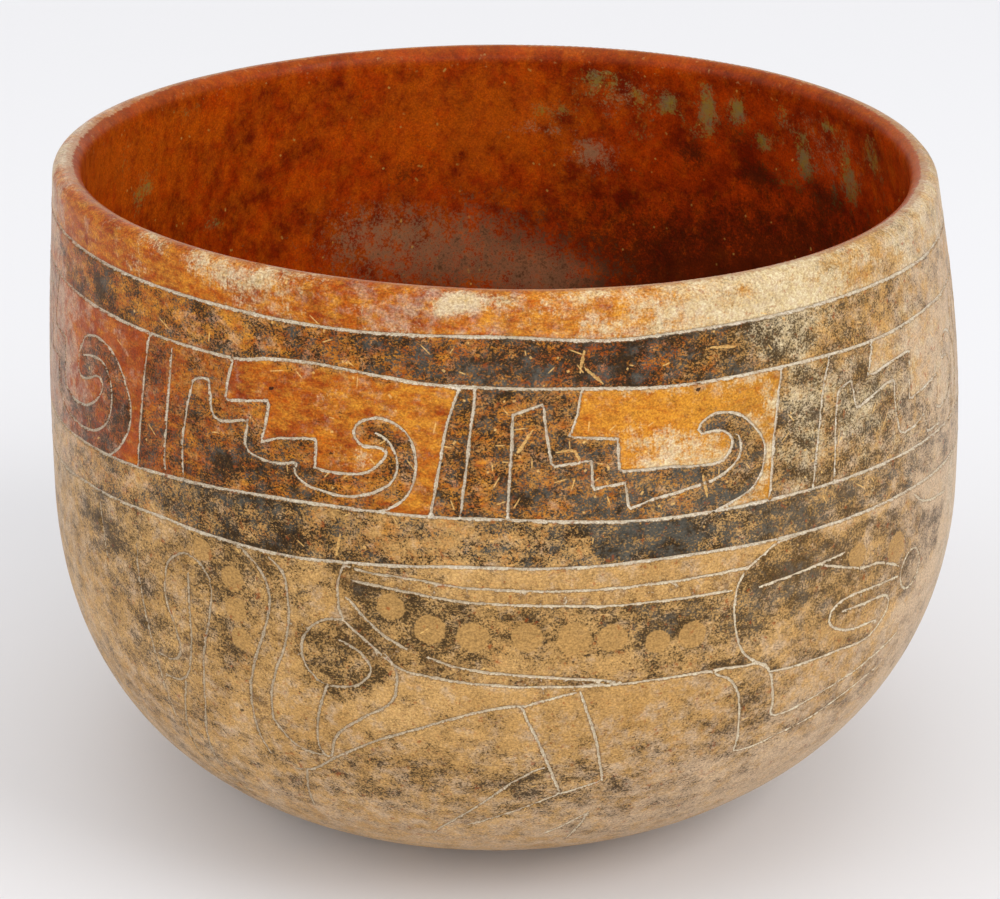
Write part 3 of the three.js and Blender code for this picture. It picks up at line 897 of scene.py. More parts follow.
@dataclass
class Wrapping:
    """Geometry Nodes tree that wraps the flat sheet round the profile and gives it the maker's hand."""

    wall: Wall
    seed: int = 11
    waviness: float = 0.22
    ripple: float = 0.05
    inset: float = 0.05
    rim_lean: float = 2.0
    foot_lean: float = 2.8
    rim_tilt: float = 0.7
    tilt_towards: float = 235.0
    rim_warp: float = 0.6
    warp_towards: float = 128.0
    weld: float = 0.01
    swell_size: float = 24
    ripple_size: float = 7
    flat_below: float = 12

    def inputs(self) -> dict[str, float]:
        """The tree's named inputs with their values, lengths in metres and angles in radians.

        Returns:
            Each input's value by its name.
        """
        return {
            "Belly Radius": self.wall.belly_radius * MM,
            "Belly Height": self.wall.belly_height * MM,
            "Height": self.wall.height * MM,
            "Waviness": self.waviness * MM,
            "Ripple": self.ripple * MM,
            "Inset": self.inset * MM,
            "Rim Lean": self.rim_lean * MM,
            "Foot Lean": self.foot_lean * MM,
            "Rim Tilt": self.rim_tilt * MM,
            "Tilt Towards": math.radians(self.tilt_towards),
            "Rim Warp": self.rim_warp * MM,
            "Warp Towards": math.radians(self.warp_towards),
            "Weld": self.weld * MM,
            "Seed": float(self.seed),
        }

    def rise(self, tree: Tree, given: dict, azimuth: Node) -> Node:
        """Nodes for how far the rim stands above its mean height at each azimuth.

        Args:
            tree: Tree that takes the nodes.
            given: Sockets of the tree's inputs by name.
            azimuth: Node of the azimuth in radians.

        Returns:
            The last node, in metres.
        """
        aside = add(tree, MATH, {0: azimuth, 1: given["Tilt Towards"]}, operation="SUBTRACT")
        level = add(tree, MATH, {0: aside}, operation="COSINE")
        tilt = add(tree, MATH, {0: level, 1: given["Rim Tilt"]}, operation="MULTIPLY")
        aside = add(tree, MATH, {0: azimuth, 1: given["Warp Towards"]}, operation="SUBTRACT")
        double = add(tree, MATH, {0: aside, 1: 2.0}, operation="MULTIPLY")
        warp = add(tree, MATH, {0: double}, operation="COSINE")
        return add(tree, MATH, {0: warp, 1: given["Rim Warp"], 2: tilt}, operation="MULTIPLY_ADD")

    def tree(self, outline: bpy.types.Object, materials: dict[Skin, Material]) -> Tree:
        """Build the node tree.

        Args:
            outline: Curve object of the profile, radius along X and height along Z.
            materials: Finish of each skin.

        Returns:
            The tree, its geometry in and out at the first sockets.
        """
        tree = bpy.data.node_groups.new("wrap_sheet", "GeometryNodeTree")
        tree.interface.new_socket(name="Geometry", in_out="INPUT", socket_type="NodeSocketGeometry")
        for name in self.inputs():
            tree.interface.new_socket(name=name, in_out="INPUT", socket_type="NodeSocketFloat")
        tree.interface.new_socket(name="Geometry", in_out="OUTPUT", socket_type="NodeSocketGeometry")
        given = add(tree, "NodeGroupInput").outputs
        flat = add(tree, SPLIT, {0: add(tree, "GeometryNodeInputPosition")}).outputs
        azimuth = add(tree, MATH, {0: flat["X"], 1: given["Belly Radius"]}, operation="DIVIDE")
        turn = add(tree, MATH, {0: azimuth, 1: math.pi / 2}, operation="SUBTRACT")
        curve = add(tree, "GeometryNodeObjectInfo", {"Object": outline}).outputs["Geometry"]
        sample = add(tree, "GeometryNodeSampleCurve", {"Curves": curve, "Length": flat["Y"]}, mode="LENGTH",
                     use_all_curves=True).outputs
        spot = add(tree, TURN, {"Vector": sample["Position"], "Angle": turn}, rotation_type="Z_AXIS")
        tangent = add(tree, SPLIT, {0: sample["Tangent"]}).outputs
        downward = add(tree, MATH, {0: tangent["X"], 1: -1.0}, operation="MULTIPLY")
        across = add(tree, "ShaderNodeCombineXYZ", {"X": tangent["Z"], "Z": downward})
        normal = add(tree, TURN, {"Vector": across, "Angle": turn}, rotation_type="Z_AXIS")
        height = add(tree, SPLIT, {0: spot}).outputs["Z"]

        # Swells 24 mm wide are the scraping of the wall, and ripples 7 mm wide the burnishing. Both fade out
        # over the lowest 12 mm, so that the bowl stands flat.
        swell, ripple = (
            add(tree, NOISE, {"Vector": spot, "W": given["Seed"], "Scale": per_mm(size), "Detail": detail},
                noise_dimensions="4D")
            for size, detail in ((self.swell_size, 1.0), (self.ripple_size, 2.0))
        )
        free = add(tree, RANGE, {"Value": height, "From Max": self.flat_below * MM})
        uneven = add(tree, MATH, {0: swell, 1: given["Waviness"]}, operation="MULTIPLY")
        uneven = add(tree, MATH, {0: ripple, 1: given["Ripple"], 2: uneven}, operation="MULTIPLY_ADD")
        uneven = add(tree, MATH, {0: uneven, 1: given["Inset"]}, operation="ADD")
        sunk = add(tree, "GeometryNodeInputNamedAttribute", {"Name": "sunk"}, data_type="FLOAT")
        depth = add(tree, MATH, {0: uneven, 1: free, 2: sunk}, operation="MULTIPLY_ADD")
        inward = add(tree, MATH, {0: depth, 1: -1.0}, operation="MULTIPLY")
        push = add(tree, "ShaderNodeCombineXYZ", {"X": inward, "Y": inward, "Z": inward})
        spot = add(tree, VECTOR, {0: normal, 1: push, 2: spot}, operation="MULTIPLY_ADD")

        # The wall leans a little to one side and its rim rises and falls, more so away from the belly.
        rising = {"Value": height, "From Min": given["Belly Height"], "From Max": given["Height"]}
        over = add(tree, RANGE, rising, clamp=False)
        over = add(tree, MATH, {0: over, 1: 0.0}, operation="MAXIMUM")
        over = add(tree, MATH, {0: over, 1: over}, operation="MULTIPLY")
        under = add(tree, RANGE, {"Value": height, "From Min": given["Belly Height"], "From Max": 0.0})
        under = add(tree, MATH, {0: under, 1: under}, operation="MULTIPLY")
        lean = add(tree, MATH, {0: over, 1: given["Rim Lean"]}, operation="MULTIPLY")
        lean = add(tree, MATH, {0: under, 1: given["Foot Lean"], 2: lean}, operation="MULTIPLY_ADD")
        lean = add(tree, MATH, {0: lean, 1: -1.0}, operation="MULTIPLY")
        lift = add(tree, MATH, {0: over, 1: self.rise(tree, given, azimuth)}, operation="MULTIPLY")
        shift = add(tree, "ShaderNodeCombineXYZ", {"X": lean, "Z": lift})
        spot = add(tree, VECTOR, {0: spot, 1: shift}, operation="ADD")

        shape = add(tree, "GeometryNodeSetPosition", {"Geometry": given["Geometry"], "Position": spot})
        shape = add(tree, "GeometryNodeMergeByDistance", {"Geometry": shape, "Distance": given["Weld"]})
        shape = add(tree, "GeometryNodeRealizeInstances", {"Geometry": shape})
        shape = add(tree, "GeometryNodeSetShadeSmooth", {"Geometry": shape})
        skin = add(tree, "GeometryNodeInputNamedAttribute", {"Name": "skin"}, data_type="INT")
        for part, material in materials.items():
            pair = {"A": skin, "B": part.value}
            chosen = add(tree, "FunctionNodeCompare", pair, data_type="INT", operation="EQUAL")
            dressed = {"Geometry": shape, "Selection": chosen, "Material": material}
            shape = add(tree, "GeometryNodeSetMaterial", dressed)
        add(tree, "NodeGroupOutput", {"Geometry": shape})
        return tree


def inside_shape(azimuth: np.ndarray, up: np.ndarray, corners: list[Place]) -> np.ndarray:
    """Tell which points of the sheet lie inside a closed line.

    Args:
        azimuth: Azimuth of each point.
        up: Distance up the wall of each point.
        corners: Corners of the line.

    Returns:
        True for each point inside.
    """
    found = np.zeros(len(azimuth), bool)
    for (x0, y0), (x1, y1) in zip(corners, corners[1:] + corners[:1]):
        if y0 == y1:
            continue
        crosses = (up > min(y0, y1)) & (up <= max(y0, y1))
        found ^= crosses & (azimuth < x0 + (up - y0) * (x1 - x0) / (y1 - y0))
    return found


@dataclass(frozen=True)
class Tint:
    """How much of one slip a zone keeps, through (azimuth, share) places round the bowl."""

    orange: tuple[Place, ...] = ((0, 0.0),)
    amber: tuple[Place, ...] = ((0, 0.3),)
    black: tuple[Place, ...] = ((0, 0.0),)
    cream: tuple[Place, ...] = ((0, 0.0),)
    bloom_and_sheen: tuple[Place, ...] = ((0, 0.0),)
    slate: tuple[Place, ...] = ((0, 0.0),)


@dataclass
class Slips:
    """Coverage of every slip at each point of the sheet, and how much chalky clay is left in its lines."""

    sheet: Sheet
    names: tuple[str, ...] = ("orange", "amber", "black", "cream", "bloom_and_sheen", "slate")
    cover: dict[str, np.ndarray] = field(init=False)
    plain_amber: float = 0.35
    drawing_soot: float = 0.86
    disc_edge: float = 1.12  # in radii of the disc, as is the fade
    disc_fade: float = 0.26
    lip: tuple[Place, ...] = (
        (-105, 2.0), (-62, 2.0), (-50, 0.9), (-36, 0.3), (60, 0.3), (78, 0.3), (100, 0.2), (125, 0.0),
        (180, 0.0), (235, 0.2), (248, 1.1),
    )
    ochre: tuple[Place, ...] = ((-75, 0), (18, 0), (36, 0.7), (75, 0.8), (110, 0.4), (150, 0), (240, 0))
    soot: tuple[Place, ...] = ((-75, 0.7), (-50, 0.9), (-30, 1.0), (26, 1.0), (38, 0.85), (60, 0.8),
                               (110, 0.85), (180, 1.0))
    core: tuple[Place, ...] = ((-75, 0.5), (-30, 0.6), (-5, 0.75), (5, 0.95), (20, 0.95), (33, 1.0),
                               (60, 0.9), (120, 0.8), (180, 0.8))
    chalk: tuple[Place, ...] = ((-75, 0.5), (-50, 0.85), (-20, 1.0), (66, 1.0), (85, 0.8), (180, 0.85))
    # In the zones below, bloom and cream shares rising towards -75 and 75 degrees paint the pale sheen of
    # grazing light at the view's edges.
    rim: Tint = Tint(
        orange=((-75, 0.8), (-60, 1), (-45, 1), (-30, 0.88), (-15, 0.98), (0, 1), (10, 1), (18, 0.8),
                (24, 0.5), (32, 0.45), (40, 0.2), (48, 0.42), (56, 0.25), (75, 0.15), (120, 0.5),
                (180, 0.8), (240, 0.9)),
        amber=((-75, 0.25), (-50, 0.3), (-30, 0.4), (-10, 0.3), (0, 0.45), (10, 0.6), (30, 0.85),
               (75, 0.95), (180, 0.5)),
        cream=((-92, 0.62), (-84, 0.55), (-74, 0.25), (-66, 0.05), (-62, 0.05), (-57, 0.38), (-51, 0.28),
               (-46, 0.38), (-41, 0.16), (-36, 0.28), (-31, 0.36), (-27, 0.34), (-22, 0.26), (-14, 0.22),
               (-3, 0.2), (8, 0.22), (16, 0.42), (22, 0.62), (30, 0.66), (40, 0.76), (45, 0.42),
               (51, 0.34), (60, 0.5), (75, 0.5), (110, 0.2), (180, 0.05), (240, 0.15)),
        bloom_and_sheen=((-90, 0.75), (-75, 0.55), (-66, 0.08), (-60, 0.02), (-40, 0), (-20, 0.08), (-8, 0.2),
               (5, 0.16), (14, 0.1), (40, 0.15), (60, 0.35), (75, 0.5), (110, 0.3), (180, 0.2), (250, 0.6)),
        black=((0, 0.03), (40, 0.06), (46, 0.18), (75, 0.2), (180, 0.1)),
    )
    # Slate shares here, in the ground and in the dark band paint sheen on the black slip.
    collar: Tint = Tint(
        orange=((-75, 0.9), (-50, 0.9), (-30, 0.8), (-15, 0.9), (0, 0.7), (8, 0.8), (15, 0.95), (25, 0.5),
                (35, 0.25), (46, 0.35), (60, 0.2), (120, 0.5), (180, 0.6), (240, 0.7)),
        amber=((-75, 0.25), (-58, 0.4), (-30, 0.6), (-20, 0.4), (0, 0.4), (14, 0.15), (28, 0.6), (45, 0.9),
               (75, 0.9), (180, 0.4)),
        black=((-75, 0.25), (-62, 0.5), (-54, 0.6), (-46, 0.47), (-35, 0.5), (-25, 0.44), (-16, 0.5),
               (-9, 0.56), (4, 0.56), (15, 0.62), (26, 0.62), (33, 0.52), (40, 0.5), (47, 0.42),
               (60, 0.34), (75, 0.25), (120, 0.4), (180, 0.55), (240, 0.4)),
        cream=((-82, 0.5), (-72, 0.1), (0, 0.05), (28, 0.1), (35, 0.3), (45, 0.2), (60, 0.3), (75, 0.3),
               (110, 0.1), (180, 0.1)),
        bloom_and_sheen=((-75, 0.6), (-64, 0.15), (-52, 0), (-44, 0.05), (-38, 0.3), (-26, 0.25), (-15, 0.1),
               (20, 0.1), (45, 0.25), (75, 0.45), (110, 0.1), (240, 0.1)),
        slate=((-75, 0.2), (-40, 0.35), (-25, 0.25), (-10, 0.45), (3, 0.5), (10, 0.25), (28, 0.35),
               (38, 0), (75, 0), (120, 0.3), (180, 0.4)),
    )
    ground: Tint = Tint(
        orange=((-75, 0.95), (-52, 0.95), (-40, 0.8), (-20, 0.75), (-8, 0.75), (5, 0.65), (20, 0.5),
                (35, 0.25), (60, 0.15), (120, 0.5), (180, 0.6), (240, 0.8)),
        amber=((-75, 0.1), (-50, 0.15), (-30, 0.4), (0, 0.5), (30, 0.6), (75, 0.8), (180, 0.4)),
        black=((-75, 0.3), (-58, 0.55), (-50, 0.55), (-44, 0.4), (-35, 0.4), (-24, 0.35), (-14, 0.36),
               (-9, 0.46), (-6, 0.56), (0, 0.57), (15, 0.49), (27, 0.6), (36, 0.5), (48, 0.54), (60, 0.4),
               (75, 0.25), (120, 0.45), (180, 0.55), (240, 0.45)),
        cream=((-82, 0.5), (-72, 0.1), (0, 0.04), (28, 0.1), (36, 0.4), (46, 0.3), (60, 0.35), (75, 0.3),
               (110, 0.1), (180, 0.05)),
        bloom_and_sheen=((-75, 0.6), (-62, 0.2), (-40, 0.05), (0, 0.1), (50, 0.35), (75, 0.5), (110, 0.1), (240, 0.1)),
        slate=((-75, 0.3), (-30, 0.3), (-14, 0.3), (0, 0.3), (15, 0.6), (28, 0.5), (36, 0.1), (75, 0),
               (120, 0.3), (180, 0.4)),
    )
    panel: Tint = Tint(
        orange=((-75, 1), (30, 1), (42, 0.5), (50, 0.3), (75, 0.25), (120, 0.6), (180, 0.95), (240, 1)),
        amber=((-75, 0.1), (-45, 0.12), (-34, 0.2), (-24, 0.32), (-15, 0.45), (0, 0.6), (12, 0.7),
               (24, 0.95), (40, 0.8), (180, 0.5)),
        black=((-75, 0.08), (-20, 0.1), (10, 0.03), (30, 0.05), (55, 0.18), (75, 0.15), (180, 0.06)),
        cream=((-84, 0.5), (-74, 0.05), (-60, 0), (-30, 0.02), (-18, 0.12), (-10, 0.12), (9, 0.18),
               (14, 0.45), (20, 0.58), (28, 0.45), (60, 0.4), (75, 0.4), (110, 0.1), (200, 0.2), (240, 0.05)),
        bloom_and_sheen=((-75, 0.7), (-66, 0.35), (-56, 0.05), (-22, 0.05), (0, 0), (30, 0), (50, 0.35), (75, 0.5),
               (110, 0.1), (240, 0.1)),
    )
    dark: Tint = Tint(
        orange=((-75, 0.35), (-50, 0.3), (-20, 0.3), (0, 0.25), (40, 0.1), (75, 0.1), (180, 0.3)),
        amber=((-75, 0.5), (180, 0.5)),
        black=((-75, 0.3), (-56, 0.4), (-45, 0.46), (-37, 0.56), (-25, 0.54), (-17, 0.4), (-5, 0.34),
               (4, 0.46), (12, 0.67), (30, 0.7), (38, 0.58), (50, 0.5), (75, 0.36), (120, 0.4),
               (180, 0.55), (240, 0.4)),
        cream=((0, 0.05), (45, 0.2), (75, 0.3), (180, 0.05)),
        bloom_and_sheen=((-75, 0.5), (-60, 0.3), (-30, 0.15), (15, 0.15), (45, 0.3), (75, 0.55), (110, 0.2),
               (240, 0.2)),
        slate=((-75, 0.2), (-45, 0.5), (-30, 0.3), (0, 0.3), (14, 0.58), (32, 0.55), (75, 0.3), (180, 0.4)),
    )
    drawn: Tint = Tint(
        black=((-75, 0.4), (-40, 0.46), (-18, 0.54), (-8, 0.5), (0, 0.44), (20, 0.48), (35, 0.58),
               (50, 0.52), (75, 0.4), (180, 0.46)),
        bloom_and_sheen=((0, 0.1), (40, 0.25), (60, 0.4), (75, 0.5)),
    )
    body: Tint = Tint(
        black=((-75, 0.3), (-50, 0.32), (-36, 0.28), (-20, 0.18), (0, 0.15), (30, 0.16), (75, 0.16),
               (180, 0.18)),
        cream=((-75, 0.05), (40, 0.05), (60, 0.25), (72, 0.45), (90, 0.45), (115, 0.1), (180, 0.05)),
        bloom_and_sheen=((-75, 0.4), (-55, 0.3), (-40, 0.2), (0, 0.15), (30, 0.2), (50, 0.45), (75, 0.7), (180, 0.2)),
    )

    def paint(self, tint: Tint, where: np.ndarray) -> None:
        """Give a zone its own share of each slip, in place of what it had.

        Args:
            tint: Shares of each slip by azimuth.
            where: Points of the zone.
        """
        for name in self.names:
            azimuths, shares = np.array(getattr(tint, name)).T
            self.cover[name][where] = np.interp(self.sheet.azimuth[where], azimuths, shares, period=360)

    def panels(self) -> list[list[Place]]:
        """Closed line of each painted panel: along a hook, then back up the next fret's front edge.

        Returns:
            One closed line per fret, in degrees of azimuth and millimetres up the wall.
        """
        frets = sorted(self.sheet.frieze.frets(), key=lambda fret: fret.hook[0][0])
        turn = Fret([(azimuth + 360, height) for azimuth, height in frets[0].front_edge], [], [], [])
        up_at = self.sheet.profile.up_at
        closed = []
        for fret, following in zip(frets, [*frets[1:], turn]):
            corners = [*fret.hook, *reversed(following.front_edge)]
            closed.append([(azimuth, float(up_at(height))) for azimuth, height in corners])
        return closed

    def filled(self) -> list[list[Place]]:
        """Closed lines of the drawing that were filled with black slip.

        Returns:
            The lines of the front, then those of the far side.
        """
        _, under_deck, keel, *_ = self.sheet.drawing.hull()
        hull = [*under_deck, *[(26.7, 91), (26.8, 88), (27.4, 84.5), (28.5, 81.5), (31, 79)], *reversed(keel)]
        head = [(28.6, 97), (27.3, 95), (26.7, 91), (26.8, 88), (27.3, 84.5), (28.5, 81.5), (30.5, 79.3),
                (32.2, 77.2)]
        head += [(36, 76.5), (43, 76.3), (48.5, 75.8), (51, 77.5), (54, 80), (60, 81), (66, 84), (68, 90),
                 (60, 95)]
        head += [(55, 99.5), (45, 99), (36, 100.8), (32, 100)]
        scroll = [(-23.5, 90), (-24.2, 84), (-22.5, 78), (-19.5, 76), (-16, 77), (-12.6, 80), (-13, 85.5),
                  (-18.4, 90.3)]
        front = [hull, head, scroll]
        turned = [[(azimuth + self.sheet.drawing.back_turn, up) for azimuth, up in line] for line in front]
        return front + turned

    def patches(self) -> dict[str, tuple[tuple[float, ...], ...]]:
        """Soft patches seen on the wall and inside, wear along the belly, and painted sheen and shade.

        Returns:
            Slip to its patches: azimuth, up, half width in degrees, half height in millimetres, what it adds.
        """
        return {
            "black": (
                (-33, 85, 3.5, 8, 0.22), (-50, 84, 4, 10, 0.12), (-44, 70, 3, 12, 0.12),
                (-31, 96, 6, 5, 0.22), (-56, 93, 4, 4, 0.35), (-18, 82, 3, 4, 0.14), (-8, 62, 9, 6, 0.22),
                (-20, 55, 8, 5, 0.2), (5, 57, 7, 6, 0.25), (22, 62, 9, 8, 0.2), (30, 73, 3, 5, 0.35),
                (18, 44, 14, 6, 0.15), (-16, 99, 7, 3, 0.2), (50, 66, 10, 6, 0.2), (33, 82, 4, 3.5, -0.3),
                (46, 79, 7, 2.5, -0.25), (34, 94, 4, 4, 0.25), (13, 111.5, 9, 3, 0.05),
                (-11, 93, 5, 3.5, 0.06), (5, 91.6, 10, 2.2, 0.08), (17, 89.4, 5, 2.5, 0.1),
                (4, 83.6, 9, 1.8, -0.14), (14, 82.4, 6, 1.6, -0.1), (-28, 114, 9, 4, 0.3),
                (6, 135, 12, 3, 0.12), (149.8, 168.6, 2.0, 1.8, 0.7), (138, 170.8, 2.2, 1.6, 0.7),
                (162.3, 166.6, 2.0, 1.2, 0.5), (141, 163.5, 2.6, 1.4, 0.5), (124, 171, 2.4, 2.0, 0.5),
                # The wide patches at 150 and 120, with the cut at 172, paint shade low on the right of the
                # inside.
                (195, 175, 3.5, 2, 0.4), (172, 199, 8, 6, -0.35), (150, 200, 32, 14, 0.85),
                (120, 184, 16, 12, 0.5),
            ),
            # Slate patches paint sheen on the black slip.
            "slate": (
                (35, 92, 6, 6, 0.5), (21, 90, 6, 3, 0.4), (14, 111.5, 9, 3.5, 0.2),
            ),
            "cream": (
                (-3.2, 145, 2.6, 1.3, 0.55), (-5.5, 143.6, 1.4, 0.9, 0.3), (33, 136, 3, 3, 0.7),
                (38, 136.5, 2.5, 2.5, 0.5), (37, 122, 2.5, 5, 0.5), (47, 119, 2.5, 4, 0.5),
                (-17.5, 118, 4, 2.5, 0.2), (-45, 145.4, 5, 1.8, 0.24), (-34.5, 144.8, 4, 2.4, 0.14),
                (-23.5, 145.2, 3, 1.6, 0.2), (8, 145.2, 6, 2, 0.2), (-41, 141, 4, 2.6, -0.3),
                (-53, 142, 4, 4, -0.22), (164, 155.8, 3.0, 3.0, 0.6), (157.8, 159, 0.8, 2.6, 0.7),
                (152.9, 159, 1.7, 1.6, 0.85), (146.0, 158.4, 1.2, 3.6, 0.95),
                (140.6, 158.2, 1.1, 2.6, 1.0), (135.8, 163.4, 1.6, 1.4, 0.8), (131.8, 157, 1.0, 1.2, 0.75),
                (128, 164, 1.3, 4.0, 0.85), (121, 156, 1.4, 1.2, 0.75), (117.3, 165, 1.7, 4.2, 0.75),
                (109, 157, 2.4, 5.0, 0.5), (172, 163, 3.5, 1.6, 0.5), (158, 166, 2.0, 1.5, 0.5),
                (148, 164, 2.0, 1.5, 0.45), (133, 170, 2.5, 1.5, 0.45), (122, 170, 1.5, 2.5, 0.45),
                (243.5, 165.6, 1.6, 1.6, 0.62), (246, 168.4, 1.6, 1.8, 0.55), (234, 154.6, 1.8, 1.3, 0.5),
                (229, 179, 1.8, 1.4, 0.5), (250, 160, 3.5, 4, 0.28), (20, 126, 12, 2.5, -0.35),
            ),
            "bloom_and_sheen": (
                (-44, 141, 9, 5, -0.2), (175, 166, 3.5, 1.3, 0.5), (165.8, 171.6, 3.2, 2.8, 0.65),
                (188, 193, 12, 8, 0.62), (203, 187, 6, 5, 0.3), (172, 199, 7, 5, 0.5),
                (160, 196, 5, 4, 0.2), (160, 158, 5, 4, 0.4), (122, 163, 9, 8, 0.35),
                # The bloom patches at 0 and 28 low on the body, and at -70, 66 and 80 by the edges, paint
                # pale sheen of reflected light.
                (-12, 143, 10, 3, 0.12), (0, 34, 70, 18, 0.4), (28, 52, 14, 14, 0.35),
                (-70, 110, 8, 16, 0.35), (66, 100, 8, 25, 0.3), (80, 80, 14, 30, 0.6),
            ),
            "amber": (
                (187, 164, 12, 6, 0.5), (176, 170, 6, 9, 0.3), (252, 160, 16, 8, 0.5),
                # Less amber on the right of the inside: painted shade.
                (132, 172, 26, 22, -0.4),
            ),
            "worn": (
                (4, 118, 6, 8, 0.4), (-20, 116, 18, 8, 0.12), (18, 115, 9, 4, 0.16),
                (-3, 135, 16, 4, 0.18), (42, 118, 7, 8, 0.2), (14, 134, 16, 4, 0.12), (0, 112, 70, 30, 0.025),
            ),
        }

    def spread(self) -> dict[str, np.ndarray]:
        """Work out the coverage of every slip.

        Returns:
            Slip name to its share at each point, from 0 to 1.
        """
        azimuth, up, profile = self.sheet.azimuth, self.sheet.up, self.sheet.profile
        self.cover = {name: np.zeros(len(up)) for name in (*self.names, "worn")}
        line = {n: profile.up_at(self.sheet.bands.height(n, azimuth)) for n in LINES}
        outside = (up >= 0) & (up <= profile.crest + 2)
        self.cover["amber"][:] = self.plain_amber
        self.paint(self.body, outside)
        turns = [(azimuth, up), (azimuth + 360, up)]
        shapes = np.zeros(len(up), bool)
        for corners in self.filled():
            for across, rise in turns:
                shapes |= inside_shape(across, rise, corners)
        self.paint(self.drawn, shapes & outside & (up < line["dark"]))
        self.paint(self.dark, outside & (up > line["dark"]))
        self.paint(self.ground, outside & (up > line["frieze"]))
        shapes = np.zeros(len(up), bool)
        for corners in self.panels():
            for across, rise in turns:
                shapes |= inside_shape(across, rise, corners)
        self.paint(self.panel, shapes & outside & (up > line["frieze"]) & (up < line["collar"]))
        self.paint(self.collar, outside & (up > line["collar"]))
        self.paint(self.rim, outside & (up > line["rim"]))
        for slip, patches in self.patches().items():
            for centre, middle, half_width, half_height, amount in patches:
                across = (azimuth - centre + 180) % 360 - 180
                reach = (across / half_width) ** 2 + ((up - middle) / half_height) ** 2
                self.cover[slip] += amount * np.exp(-reach / 2)
        for name in ("chalk", "core", "soot", "ochre", "lip"):
            azimuths, values = np.array(getattr(self, name)).T
            self.cover[name] = np.interp(azimuth, azimuths, values, period=360)
        self.cover["soot"] *= np.where((up < line["dark"]) & outside, self.drawing_soot, 1)
        self.cover["bare"] = np.zeros(len(up))
        for centre, rise, radius in self.sheet.drawing.discs():
            across = np.radians((azimuth - centre + 180) % 360 - 180) * profile.radius(rise)
            away = np.hypot(across, up - rise) / radius
            share = np.clip((self.disc_edge - away) / self.disc_fade, 0, 1)
            self.cover["bare"] = np.maximum(self.cover["bare"], share)
        return {name: np.clip(share, -3, 1) for name, share in self.cover.items()}


